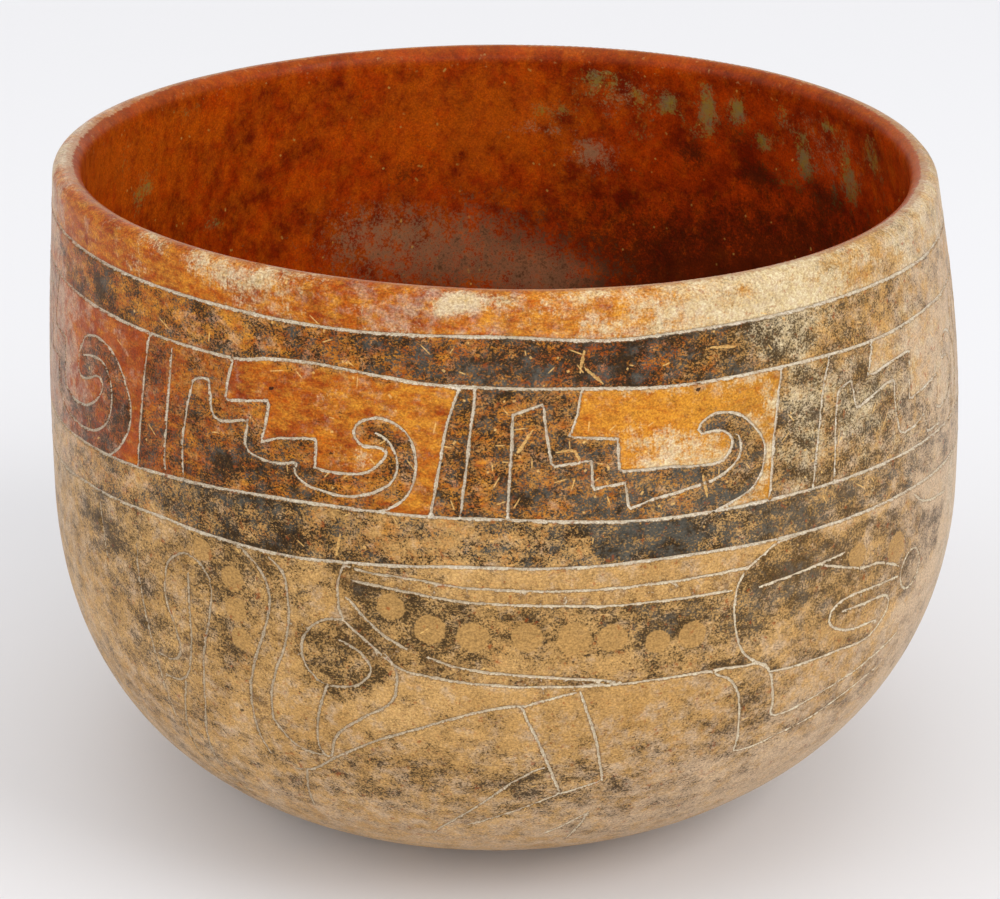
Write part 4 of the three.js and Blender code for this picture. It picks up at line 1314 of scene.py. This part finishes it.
@dataclass(frozen=True)
class Pottery:
    """Parts that every finish of the bowl is made of: noises by real size, wear masks and the last shader."""

    def noise(self, tree: Tree, size: float, offset: float, detail: float = 4.0, rough: float = 0.6,
              stretch: tuple[float, float, float] = (1, 1, 1), spread: float = 0.2) -> Node:
        """Noise of a real feature size, spread over 0 to 1.

        Args:
            tree: Tree of the material.
            size: Feature size in millimetres.
            offset: Shift that makes it differ from the other noises.
            detail: Octaves.
            rough: Weight of the finer octaves.
            stretch: Share of the scale along each axis, less than 1 for longer marks.
            spread: Deviation from the middle that is brought to 0 or 1, less for harder contrast.

        Returns:
            The node that gives the spread value.
        """
        coordinate = add(tree, "ShaderNodeTexCoord").outputs["Object"]
        moved = {"Vector": coordinate, "Location": (offset, -offset, offset), "Scale": stretch}
        placed = add(tree, "ShaderNodeMapping", moved)
        sized = {"Vector": placed, "Scale": per_mm(size), "Detail": detail, "Roughness": rough}
        raw = add(tree, NOISE, sized)
        return add(tree, RANGE, {"Value": raw, "From Min": 0.5 - spread, "From Max": 0.5 + spread})

    def laid(self, tree: Tree, colour: object, name: str, tone: object, wear: object, soft: float,
             most: float = 1.0) -> Node:
        """Lay one slip over a colour, where the piece carries it and the wear leaves it.

        Args:
            tree: Tree of the material.
            colour: Colour underneath.
            name: Slip, by the attribute that holds its coverage.
            tone: Colour of the slip.
            wear: Noise from 0 to 1.
            soft: Width of the slip's edge, in shares.
            most: Opacity where the slip is whole.

        Returns:
            The node that gives the colour with the slip on it.
        """
        cover = add(tree, ATTRIBUTE, attribute_name=name).outputs["Fac"]
        share = self.mask(tree, cover, wear, soft, most)
        return add(tree, MIX, {0: share, 1: colour, 2: tone}, data_type="RGBA")

    def mask(self, tree: Tree, share: object, wear: object, soft: float, most: float = 1.0) -> Node:
        """Turn a slip's share into patches that end where the wear is stronger.

        Args:
            tree: Tree of the material.
            share: Coverage from 0 to 1.
            wear: Noise from 0 to 1.
            soft: Width of the edge, in shares.
            most: Opacity where the slip is whole.

        Returns:
            The node that gives the opacity.
        """
        left = add(tree, MATH, {0: share, 1: wear}, operation="SUBTRACT")
        return add(tree, RANGE, {"Value": left, "From Min": -soft, "From Max": soft, "To Max": most},
                   interpolation_type="SMOOTHSTEP")

    def scratches(self, tree: Tree, share: object, pitch: float, width: float, length: float) -> Node:
        """Short straight scratches in any direction, at most one to a cell of the flat sheet.

        Args:
            tree: Tree of the material.
            share: Share of the cells that hold a scratch.
            pitch: Size of a cell in millimetres.
            width: Width of a scratch in millimetres.
            length: Length of a scratch in millimetres, less than the pitch.

        Returns:
            The node that gives 1 in a scratch and 0 beside it.
        """
        flat = add(tree, "ShaderNodeUVMap", uv_map="skin_mm")
        cell = add(tree, "ShaderNodeTexVoronoi", {"Vector": flat, "Scale": 1 / pitch},
                   voronoi_dimensions="2D").outputs
        away = add(tree, VECTOR, {0: flat, 1: cell["Position"]}, operation="SUBTRACT")
        chance = add(tree, "ShaderNodeSeparateColor", {0: cell["Color"]}).outputs
        turn = add(tree, MATH, {0: chance["Red"], 1: math.pi}, operation="MULTIPLY")
        turned = add(tree, TURN, {"Vector": away, "Angle": turn}, rotation_type="Z_AXIS")
        place = add(tree, SPLIT, {0: turned}).outputs
        held = add(tree, MATH, {0: chance["Green"], 1: share}, operation="LESS_THAN")
        grown = add(tree, MATH, {0: chance["Blue"], 1: 1.8, 2: 1.0}, operation="MULTIPLY_ADD")
        for axis, half in (("X", length / 2), ("Y", width / 2)):
            beside = add(tree, MATH, {0: place[axis]}, operation="ABSOLUTE")
            beside = add(tree, MATH, {0: beside, 1: grown if axis == "X" else 1.0}, operation="MULTIPLY")
            inside = add(tree, RANGE, {"Value": beside, "From Min": half * 1.2, "From Max": half * 0.7})
            held = add(tree, MATH, {0: held, 1: inside}, operation="MULTIPLY", use_clamp=True)
        return held

    def finish(self, material: Material, colour: object, roughness: object, height: object, bump: float,
               sheen: float = 0.1) -> None:
        """Close the material with one principled shader.

        Args:
            material: Material to close.
            colour: Colour node.
            roughness: Roughness node.
            height: Node of the fine relief, from 0 to 1.
            bump: Height of that relief in millimetres.
            sheen: Strength of the reflection, 0.5 for glass; a plain number, so that it is exported.
        """
        tree = material.node_tree
        relief = add(tree, "ShaderNodeBump", {"Height": height, "Strength": 1.0, "Distance": bump * MM})
        surface = {"Base Color": colour, "Roughness": roughness, "Normal": relief,
                   "Specular IOR Level": sheen}
        shader = add(tree, "ShaderNodeBsdfPrincipled", surface)
        add(tree, "ShaderNodeOutputMaterial", {"Surface": shader})

    def blank(self, name: str) -> Material:
        """Start an empty node material.

        Args:
            name: Name of the finish.

        Returns:
            The material.
        """
        material = bpy.data.materials.new(name)
        material.use_nodes = True
        material.node_tree.nodes.clear()
        return material


@dataclass(frozen=True)
class RedSlip(Pottery):
    """Deep red slip on the inside: glossy, smeared downwards, with grey bloom, olive stains, burnt spots and
    painted shade low on the right.

    An iron-rich slip, burnished by hand: it gives the eye a warm depth that clouds over a few millimetres.
    """

    name: str = "red_slip_inside"
    deep: str = "6c1a00"
    red: str = "ac3a00"
    amber: str = "c86008"
    bloom_and_sheen: str = "a2825e"
    olive: str = "94802a"
    # Burnt spots, and painted shade low on the right of the inside.
    grey_olive: str = "7a7450"
    burnt_and_shade: str = "361808"
    fleck: str = "c8a050"

    def colour(self, tree: Tree) -> Node:
        """Colour of the clean red slip, shared with the lip.

        Args:
            tree: The material's node tree.

        Returns:
            Node of the colour.
        """
        cloud = self.noise(tree, 8, 1.7, 9, 0.7, spread=0.12)
        smear = self.noise(tree, 3.4, 2.9, 8, 0.72, (1, 1, 0.8), 0.17)
        colour = add(tree, MIX, {0: cloud, 1: linear(self.deep), 2: linear(self.red)}, data_type="RGBA")
        colour = self.laid(tree, colour, "amber", linear(self.amber), smear, 0.5, 0.6)
        speck = self.noise(tree, 1.4, 5.1, 5, 0.7)
        speck = add(tree, RANGE, {"Value": speck, "From Min": 0.45, "From Max": 1.05, "To Max": 0.45})
        colour = add(tree, MIX, {0: speck, 1: colour, 2: linear(self.deep)}, data_type="RGBA")
        grain = self.noise(tree, 0.4, 3.1, 3, 0.7)
        return add(tree, MIX, {0: 0.36, 1: colour, 2: grain}, data_type="RGBA", blend_type="OVERLAY")

    def material(self) -> Material:
        """Make the finish.

        Returns:
            The material.
        """
        made = self.blank(self.name)
        tree = made.node_tree
        mottle = self.noise(tree, 2.5, 8.5, 8, 0.74, (1, 1, 0.8), 0.16)
        dust = self.noise(tree, 0.55, 4.5, 4, 0.8, spread=0.15)
        dusty = add(tree, MIX, {0: 0.5, 1: mottle, 2: dust}, data_type="RGBA")
        cloud = self.noise(tree, 3, 31.3, 6, 0.75, spread=0.12)
        olive = add(tree, MIX, {0: cloud, 1: linear(self.grey_olive), 2: linear(self.olive)},
                    data_type="RGBA")

        # Stains lie on the slip: grey bloom low down, olive under the rim, burnt spots between; the burnt
        # tone also paints shade low on the right.
        colour = self.laid(tree, self.colour(tree), "bloom_and_sheen", linear(self.bloom_and_sheen), dusty, 0.2, 0.68)
        colour = self.laid(tree, colour, "cream", olive, dusty, 0.22, 0.8)
        colour = self.laid(tree, colour, "black", linear(self.burnt_and_shade), dusty, 0.3, 0.75)
        faint = add(tree, MATH, {0: mottle, 1: 0.9}, operation="MULTIPLY", use_clamp=True)
        fleck = self.scratches(tree, 0.08, 2.9, 0.45, 1.0)
        fleck = add(tree, MATH, {0: fleck, 1: faint}, operation="MULTIPLY", use_clamp=True)
        colour = add(tree, MIX, {0: fleck, 1: colour, 2: linear(self.fleck)}, data_type="RGBA")
        rough = add(tree, RANGE, {"Value": mottle, "To Min": 0.32, "To Max": 0.5})
        self.finish(made, colour, rough, mottle, 0.012, 0.16)
        return made


@dataclass(frozen=True)
class PaintedSlip(Pottery):
    """Buff clay under worn orange, black and cream slips, burnished; incised lines show pale clay.

    Low-fired clay, slipped and burnished: it gives the eye flaked layers of colour with a dull gleam on them.
    """

    name: str = "burnished_slip_on_buff_clay"
    buff: str = "d4aa6e"
    buff_shade: str = "b0864c"
    stain: str = "64441f"
    rust: str = "802a00"
    orange: str = "ae5200"
    amber: str = "d6922c"
    ochre: str = "a87c2e"
    soot: str = "0e0a06"
    # Slate grey paints the sheen of the black slip.
    slate: str = "5a5c56"
    umber: str = "46300f"
    cream: str = "decfae"
    cream_shade: str = "b89c68"
    # Grey-pink bloom; at the edges of the view and low on the body it paints pale sheen.
    bloom_and_sheen: str = "c0aa92"
    lip: str = "96592c"
    # Darker brown just inside the crest: partly its own tone, partly painted shade.
    inner_lip_tone_and_shade: str = "7e3c04"
    bare: str = "ac844c"
    groove: str = "e4d9c6"
    groove_shade: str = "bcaa8c"
    thin_groove: str = "d2c2a6"
    scuff: str = "dcae68"
    inside: RedSlip = RedSlip()

    def clay(self, tree: Tree, grit: Node, mottle: Node) -> Node:
        """Buff clay, clouded over a few centimetres, grainy, with brown stains in its pores.

        Args:
            tree: The material's node tree.
            grit: Node of the clay's sandy grain.
            mottle: Node of the clay's wider blotches.

        Returns:
            Node of the colour.
        """
        cloud = self.noise(tree, 14, 2.3, 4)
        colour = add(tree, MIX, {0: cloud, 1: linear(self.buff_shade), 2: linear(self.buff)},
                     data_type="RGBA")
        wiped = self.noise(tree, 1.6, 21.3, 5, 0.7, (0.3, 0.3, 1.5))
        for streak in (mottle, wiped):
            faint = add(tree, MATH, {0: streak, 1: 0.4}, operation="MULTIPLY", use_clamp=True)
            colour = add(tree, MIX, {0: faint, 1: colour, 2: linear(self.buff_shade)}, data_type="RGBA")
        pores = add(tree, RANGE, {"Value": grit, "From Min": 0.6, "From Max": 1.0, "To Max": 0.5})
        return add(tree, MIX, {0: pores, 1: colour, 2: linear(self.stain)}, data_type="RGBA")

    def warm(self, tree: Tree, grit: Node) -> Node:
        """Orange slip: rust where it lies thick, amber where the burnisher has rubbed it thin.

        Args:
            tree: The material's node tree.
            grit: Node of the clay's sandy grain.

        Returns:
            Node of the colour.
        """
        cloud = self.noise(tree, 5, 3.7, 6, 0.68, spread=0.16)
        colour = add(tree, MIX, {0: cloud, 1: linear(self.rust), 2: linear(self.orange)}, data_type="RGBA")
        rubbed = self.noise(tree, 2.2, 4.9, 7, 0.72, (0.7, 0.7, 1.6), 0.2)
        dulled = add(tree, ATTRIBUTE, attribute_name="ochre").outputs["Fac"]
        thin = add(tree, MIX, {0: dulled, 1: linear(self.amber), 2: linear(self.ochre)}, data_type="RGBA")
        colour = self.laid(tree, colour, "amber", thin, rubbed, 0.5, 0.95)
        gritty = add(tree, MATH, {0: grit, 1: 0.3}, operation="MULTIPLY", use_clamp=True)
        return add(tree, MIX, {0: gritty, 1: colour, 2: linear(self.rust)}, data_type="RGBA")

    def pale(self, tree: Tree, colour: Node, grit: Node) -> Node:
        """Cream wear with grain and streaks in it, then grey-pink bloom on the burnish; both also paint pale
        sheen at the edges.

        Args:
            tree: The material's node tree.
            colour: Node of the colour below.
            grit: Node of the clay's sandy grain.

        Returns:
            Node of the colour with both over it.
        """
        cloud = self.noise(tree, 5.0, 7.3, 9, 0.7, (0.7, 0.7, 1.2), 0.15)
        streak = self.noise(tree, 1.0, 27.7, 6, 0.7, (1.2, 1.2, 0.22), 0.18)
        wear = add(tree, MIX, {0: 0.3, 1: cloud, 2: streak}, data_type="RGBA")
        wear = add(tree, MIX, {0: 0.25, 1: wear, 2: grit}, data_type="RGBA")
        mild = self.noise(tree, 1.6, 25.1, 7, 0.74)
        chalky = add(tree, MIX, {0: mild, 1: linear(self.cream_shade), 2: linear(self.cream)},
                     data_type="RGBA")
        # Near the edges of the view and low on the body, cream and bloom paint the pale sheen of grazing
        # light.
        colour = self.laid(tree, colour, "cream", chalky, wear, 0.2, 0.85)
        dusty = self.noise(tree, 3.4, 6.1, 7, 0.74, spread=0.16)
        return self.laid(tree, colour, "bloom_and_sheen", linear(self.bloom_and_sheen), dusty, 0.4, 0.62)

    def black(self, tree: Tree, colour: Node, grit: Node) -> Node:
        """Black slip, flaked to clumps and to grains of a third of a millimetre, with slate grey that paints
        its sheen.

        Args:
            tree: The material's node tree.
            colour: Node of the colour below.
            grit: Node of the clay's sandy grain.

        Returns:
            Node of the colour with the black over it.
        """
        cloud = self.noise(tree, 4.0, 8.9, 9, 0.76, (0.75, 0.75, 1.2), 0.16)
        fine = self.noise(tree, 0.36, 9.7, 2, 0.8, (0.9, 0.9, 1.1), 0.19)
        clumps = add(tree, MIX, {0: 0.25, 1: cloud, 2: fine}, data_type="RGBA")
        colour = self.laid(tree, colour, "black", linear(self.umber), clumps, 0.45, 0.7)
        names = ("black", "ochre", "soot")
        held = {name: add(tree, ATTRIBUTE, attribute_name=name).outputs["Fac"] for name in names}
        brown = add(tree, MATH, {0: grit, 1: 0.7}, operation="MULTIPLY", use_clamp=True)
        brown = add(tree, MATH, {0: held["ochre"], 1: 0.6, 2: brown}, operation="MULTIPLY_ADD",
                    use_clamp=True)
        solid = add(tree, MIX, {0: brown, 1: linear(self.soot), 2: linear(self.umber)}, data_type="RGBA")
        # Slate grey laid over the black paints its sheen.
        greyed = self.noise(tree, 3, 12.1, 6, 0.7, spread=0.15)
        solid = self.laid(tree, solid, "slate", linear(self.slate), greyed, 0.35, 0.55)
        flake = add(tree, MIX, {0: 0.55, 1: cloud, 2: fine}, data_type="RGBA")
        flake = add(tree, RANGE, {"Value": flake, "From Min": 0.14, "From Max": 0.86})
        flake = add(tree, MATH, {0: flake, 1: 0.06}, operation="ADD", use_clamp=True)
        share = self.mask(tree, held["black"], flake, 0.12, 0.96)
        share = add(tree, MATH, {0: share, 1: held["soot"]}, operation="MULTIPLY", use_clamp=True)
        return add(tree, MIX, {0: share, 1: colour, 2: solid}, data_type="RGBA")

    def scuffed(self, tree: Tree, colour: Node) -> Node:
        """Short scratches and chips through the slip, which show amber clay.

        Args:
            tree: The material's node tree.
            colour: Node of the colour below.

        Returns:
            Node of the colour with the scratches in it.
        """
        worn = add(tree, ATTRIBUTE, attribute_name="worn").outputs["Fac"]
        fewer = add(tree, MATH, {0: worn, 1: 0.45}, operation="MULTIPLY", use_clamp=True)
        scratched = self.scratches(tree, worn, 3.1, 0.22, 2.8)
        chipped = self.scratches(tree, fewer, 2.3, 0.4, 0.8)
        share = add(tree, MATH, {0: scratched, 1: chipped}, operation="MAXIMUM", use_clamp=True)
        share = add(tree, MATH, {0: share, 1: 0.7}, operation="MULTIPLY", use_clamp=True)
        return add(tree, MIX, {0: share, 1: colour, 2: linear(self.scuff)}, data_type="RGBA")

    def lines(self, tree: Tree, colour: Node, grit: Node) -> Node:
        """Pits, scratches and incised lines: pale raw clay with a ragged edge painted darker brown.

        Args:
            tree: The material's node tree.
            colour: Node of the colour below.
            grit: Node of the clay's sandy grain.

        Returns:
            Node of the colour with the lines in it.
        """
        crumbs = self.noise(tree, 1.3, 18.7, 3, 0.6)
        chips = add(tree, MIX, {0: 0.45, 1: grit, 2: crumbs}, data_type="RGBA")
        chips = add(tree, MATH, {0: chips, 1: 1.5}, operation="MULTIPLY")
        chalk = add(tree, MIX, {0: grit, 1: linear(self.groove_shade), 2: linear(self.groove)},
                    data_type="RGBA")

        # Each row: line, colour, reach in half widths, opacity and the share that limits it.
        for name, tone, reach, most, limit in (
            ("pit", linear(self.soot), 0.9, 0.9, "soot"),
            ("scuff", linear(self.scuff), 1.0, 0.7, "soot"),
            ("drawn", linear(self.stain), 1.9, 0.85, "soot"),
            ("drawn", linear(self.thin_groove), 1.2, 1.0, "core"),
            ("incised", linear(self.stain), 1.5, 0.5, "chalk"),
            ("incised", chalk, 0.95, 1.0, "chalk"),
        ):
            near, left = (add(tree, ATTRIBUTE, attribute_name=held).outputs["Fac"] for held in (name, limit))
            ragged = add(tree, MATH, {0: near, 1: 1 / reach, 2: chips}, operation="MULTIPLY_ADD")
            full = add(tree, MATH, {0: left, 1: most}, operation="MULTIPLY", use_clamp=True)
            share = add(tree, RANGE, {"Value": ragged, "From Min": 1.9, "From Max": 1.45, "To Max": full})
            colour = add(tree, MIX, {0: share, 1: colour, 2: tone}, data_type="RGBA")
        return colour

    def lip_edge(self, tree: Tree, colour: Node, past: Node) -> Node:
        """Brown crest that hands have rubbed, and the red slip of the inside, which starts just past it,
        darker there: partly tone, partly painted shade.

        Args:
            tree: Tree of the material.
            colour: Colour of the wall.
            past: Millimetres past the crest, towards the inside.

        Returns:
            The node that gives the colour with the lip's edge on it.
        """
        shift = add(tree, ATTRIBUTE, attribute_name="lip").outputs["Fac"]
        over = add(tree, MATH, {0: past, 1: shift}, operation="SUBTRACT")
        worn = self.noise(tree, 1.2, 13.7, 4, 0.6)
        # Just past the crest the red is mixed with darker brown: partly its tone, partly painted shade on the
        # lip's curve.
        rubbed = {"Value": over, "From Min": 0.6, "From Max": 5.0, "To Min": 0.5, "To Max": 0}
        inner = {0: add(tree, RANGE, rubbed), 1: self.inside.colour(tree), 2: linear(self.inner_lip_tone_and_shade)}
        inner = add(tree, MIX, inner, data_type="RGBA")
        for start, end, most, tone in ((-1.6, -0.2, 0.5, linear(self.lip)), (0.0, 0.8, 1.0, inner)):
            reached = add(tree, RANGE, {"Value": over, "From Min": start, "From Max": end})
            share = self.mask(tree, reached, worn, 0.25, most)
            colour = add(tree, MIX, {0: share, 1: colour, 2: tone}, data_type="RGBA")
        return colour

    def material(self, crest: float) -> Material:
        """Make the finish.

        Args:
            crest: Distance up the wall of the rim's crest, in millimetres.

        Returns:
            The material.
        """
        made = self.blank(self.name)
        tree = made.node_tree
        grit = self.noise(tree, 0.36, 0.3, 1, 0.6, spread=0.26)
        mottle = self.noise(tree, 2.2, 1.1, 7, 0.74, spread=0.17)
        wear = add(tree, MIX, {0: 0.3, 1: mottle, 2: grit}, data_type="RGBA")
        colour = self.laid(tree, self.clay(tree, grit, mottle), "orange", self.warm(tree, grit), wear, 0.42)
        colour = self.black(tree, self.pale(tree, colour, grit), grit)

        # Reserved discs stay clean clay.
        wear = add(tree, MIX, {0: 0.4, 1: mottle, 2: grit}, data_type="RGBA")
        colour = self.laid(tree, colour, "bare", linear(self.bare), wear, 0.18, 0.86)
        colour = self.lines(tree, self.scuffed(tree, colour), grit)
        fine = self.noise(tree, 0.34, 23.9, 2, 0.7, (0.85, 0.85, 1.1))
        colour = add(tree, MIX, {0: 0.4, 1: colour, 2: fine}, data_type="RGBA", blend_type="OVERLAY")

        # Handling has polished the crest, so it catches a line of light.
        up = add(tree, SPLIT, {0: add(tree, "ShaderNodeUVMap", uv_map="skin_mm")}).outputs["Y"]
        past = add(tree, MATH, {0: up, 1: crest}, operation="SUBTRACT")
        away = add(tree, MATH, {0: past}, operation="ABSOLUTE")
        polish = {"Value": away, "From Min": 1.6, "From Max": 0.4, "To Min": 1.0, "To Max": 0.5}
        rough = add(tree, RANGE, {"Value": mottle, "To Min": 0.34, "To Max": 0.5})
        rough = {0: rough, 1: add(tree, RANGE, polish)}
        rough = add(tree, MATH, rough, operation="MULTIPLY", use_clamp=True)
        relief = add(tree, MIX, {0: 0.5, 1: mottle, 2: grit}, data_type="RGBA")
        self.finish(made, self.lip_edge(tree, colour, past), rough, relief, 0.014, 0.12)
        return made


@dataclass(frozen=True)
class BareClay(Pottery):
    """Matt buff clay of the underside, scuffed pale where it stands.

    Unburnished low-fired clay: it gives the eye a dry, even surface with no gleam.
    """

    name: str = "bare_clay_underside"
    buff: str = "a98352"
    scuff: str = "c7ab80"

    def material(self) -> Material:
        """Make the finish.

        Returns:
            The material.
        """
        made = self.blank(self.name)
        tree = made.node_tree
        mottle = self.noise(tree, 3, 15.1, 7, 0.7)
        colour = add(tree, MIX, {0: mottle, 1: linear(self.buff), 2: linear(self.scuff)}, data_type="RGBA")
        rough = add(tree, RANGE, {"Value": mottle, "To Min": 0.6, "To Max": 0.8})
        self.finish(made, colour, rough, mottle, 0.05)
        return made


@dataclass
class Bowl:
    """The whole vessel as one skin: outside, lip, inside and underside."""

    name: str = "bowl_skin"
    inside_from: float = 5.5  # millimetres past the crest where the inside's finish starts
    bands: Bands = field(default_factory=Bands)
    sheet: Sheet = field(init=False)

    def __post_init__(self) -> None:
        """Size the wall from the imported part."""
        low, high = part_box("bowl")
        profile = Profile(Wall(round((high.x - low.x) / 2 / MM, 2)))
        self.sheet = Sheet(profile, self.bands, Frieze(self.bands), Drawing())

    def flat_mesh(self) -> bpy.types.Mesh:
        """Lay the skin out flat with everything that the wrapping and the finishes read.

        Returns:
            The flat mesh, a point attribute for each coat and line and a face attribute for the finish.
        """
        sheet = self.sheet
        sheet.build()
        relief = Relief(sheet)
        cuts = {"incised": sheet.incised(), "drawn": sheet.drawn(), "scuff": sheet.scuffs(),
                "pit": sheet.pits()}
        near, sunk = zip(*[relief.measure(strokes) for strokes in cuts.values()])
        profile = sheet.profile
        across = np.radians(sheet.azimuth) * profile.wall.belly_radius
        rows = np.column_stack([across, sheet.up - profile.start, np.zeros(len(across))]) * MM
        mesh = bpy.data.meshes.new("flat_skin")
        mesh.from_pydata(rows.tolist(), [], sheet.triangles)
        carried = {**Slips(sheet).spread(), **dict(zip(cuts, near)), "sunk": sum(sunk) * MM}
        for name, values in carried.items():
            mesh.attributes.new(name, "FLOAT", "POINT").data.foreach_set("value", values.astype(np.float32))
        corner = np.empty(len(mesh.loops), np.int32)
        mesh.loops.foreach_get("vertex_index", corner)
        flat = np.column_stack([across, sheet.up])[corner].astype(np.float32)
        mesh.uv_layers.new(name="skin_mm").uv.foreach_set("vector", flat.ravel())
        middle = np.array([sheet.up[list(face)].mean() for face in sheet.triangles])
        skin = np.full(len(middle), Skin.OUTSIDE.value, np.int32)
        skin[middle > profile.crest + self.inside_from] = Skin.INSIDE.value
        skin[middle < 0] = Skin.UNDERSIDE.value
        mesh.attributes.new("skin", "INT", "FACE").data.foreach_set("value", skin)
        return mesh

    def outline(self) -> bpy.types.Object:
        """Curve of the profile, radius along X and height along Z.

        Returns:
            The curve object, not yet in the scene.
        """
        places = self.sheet.profile.places
        curve = bpy.data.curves.new("profile", "CURVE")
        curve.dimensions = "3D"
        spline = curve.splines.new("POLY")
        spline.points.add(len(places) - 1)
        for point, (radius, height) in zip(spline.points, places):
            point.co = (radius * MM, 0, height * MM, 1)
        return bpy.data.objects.new("profile", curve)

    def build(self) -> bpy.types.Object:
        """Wrap the flat skin round the profile and turn it into a plain mesh.

        Returns:
            The wrapped bowl, tied to its body.
        """
        crest = self.sheet.profile.crest
        materials = {
            Skin.OUTSIDE: PaintedSlip().material(crest),
            Skin.INSIDE: RedSlip().material(),
            Skin.UNDERSIDE: BareClay().material(),
        }
        wrapping = Wrapping(self.sheet.profile.wall)
        source, outline = bpy.data.objects.new("flat_skin", self.flat_mesh()), self.outline()
        for helper in (source, outline):
            bpy.context.scene.collection.objects.link(helper)
        tree = wrapping.tree(outline, materials)
        modifier = source.modifiers.new("wrap", "NODES")
        modifier.node_group = tree
        for item in tree.interface.items_tree:
            if item.in_out == "INPUT" and item.name in wrapping.inputs():
                modifier[item.identifier] = wrapping.inputs()[item.name]
        bpy.context.view_layer.update()
        evaluated = source.evaluated_get(bpy.context.evaluated_depsgraph_get())
        made = bpy.data.objects.new(self.name, bpy.data.meshes.new_from_object(evaluated))
        source.modifiers.remove(modifier)
        for helper in (source, outline):
            bpy.data.objects.remove(helper)
        bpy.context.scene.collection.objects.link(made)
        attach(made, "root")
        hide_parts("bowl")
        LOG.info("%s: %d points, %d faces", made.name, len(made.data.vertices), len(made.data.polygons))
        return made


@dataclass(frozen=True)
class Lamp:
    """Square soft lamp that looks at the bowl."""

    name: str
    place: tuple[float, float, float]
    size: float
    watts: float
    colour: str = "ffffff"

    def build(self) -> None:
        """Add the lamp."""
        light = bpy.data.lights.new(self.name, "AREA")
        light.size, light.energy, light.color = self.size, self.watts, linear(self.colour)[:3]
        made = bpy.data.objects.new(self.name, light)
        made.location = self.place
        made.rotation_euler = (Vector((0, 0, 0.06)) - Vector(self.place)).to_track_quat("-Z", "Y").to_euler()
        bpy.context.scene.collection.objects.link(made)


@dataclass(frozen=True)
class Studio:
    """White table, soft lamps and the camera at the photo's angle."""

    table_colour: str = "e5e5e8"
    world_strength: float = 0.75
    lamps: tuple[Lamp, ...] = (
        Lamp("key", (2.2, -1.4, 2.2), 1.6, 36.0),
        Lamp("fill", (-2.0, -0.8, 1.4), 1.6, 11.0),
        Lamp("front", (0.3, -2.6, 0.8), 1.4, 17.0),
        Lamp("top", (0.0, -0.2, 2.6), 2.2, 12.0),
    )
    lens: float = 107.36
    distance: float = 0.55
    elevation: float = math.radians(21.737)
    roll: float = math.radians(0.182)
    target: tuple[float, float, float] = (-0.00094, 0.0, 0.06)
    half_table: float = 3.0

    def floor(self) -> None:
        """Lay the table under the bowl, far enough to fill the view."""
        mesh = bpy.data.meshes.new("table")
        square = ((-1, -1), (1, -1), (1, 1), (-1, 1))
        corners = [(x * self.half_table, y * self.half_table, 0) for x, y in square]
        mesh.from_pydata(corners, [], [(0, 1, 2, 3)])
        finish = Pottery().blank("white_table_paper")
        plain = {"Base Color": linear(self.table_colour), "Roughness": 0.9}
        shader = add(finish.node_tree, "ShaderNodeBsdfPrincipled", plain)
        add(finish.node_tree, "ShaderNodeOutputMaterial", {"Surface": shader})
        mesh.materials.append(finish)
        table = bpy.data.objects.new("table", mesh)
        bpy.context.scene.collection.objects.link(table)

    def camera(self) -> None:
        """Place the camera with its slight roll."""
        lens = bpy.data.cameras.new("camera")
        lens.lens, lens.sensor_width, lens.sensor_fit = self.lens, 36, "HORIZONTAL"
        lens.clip_start = 0.01
        ahead = Vector((0, math.cos(self.elevation), -math.sin(self.elevation)))
        right, up = Vector((1, 0, 0)), Vector((0, math.sin(self.elevation), math.cos(self.elevation)))
        turned = math.cos(self.roll) * right + math.sin(self.roll) * up
        upright = math.cos(self.roll) * up - math.sin(self.roll) * right
        place = Vector(self.target) - self.distance * ahead
        made = bpy.data.objects.new("camera", lens)
        axes = Matrix([turned, upright, -ahead]).transposed()
        made.matrix_world = Matrix.Translation(place) @ axes.to_4x4()
        bpy.context.scene.collection.objects.link(made)
        bpy.context.scene.camera = made

    def build(self) -> None:
        """Set up floor, light and camera."""
        self.floor()
        for lamp in self.lamps:
            lamp.build()
        scene = bpy.context.scene
        scene.world = bpy.data.worlds.new("studio")
        scene.world.use_nodes = True
        scene.world.node_tree.nodes.clear()
        glow = {"Color": linear("ffffff"), "Strength": self.world_strength}
        sky = add(scene.world.node_tree, "ShaderNodeBackground", glow)
        add(scene.world.node_tree, "ShaderNodeOutputWorld", {"Surface": sky})
        scene.view_settings.view_transform = "Standard"
        self.camera()


def main() -> None:
    """Build the bowl and its studio, and note both sizes."""
    logging.basicConfig(level=logging.INFO, format="%(name)s: %(message)s")
    Bowl().build()
    Studio().build()


if __name__ == "__main__":
    main()
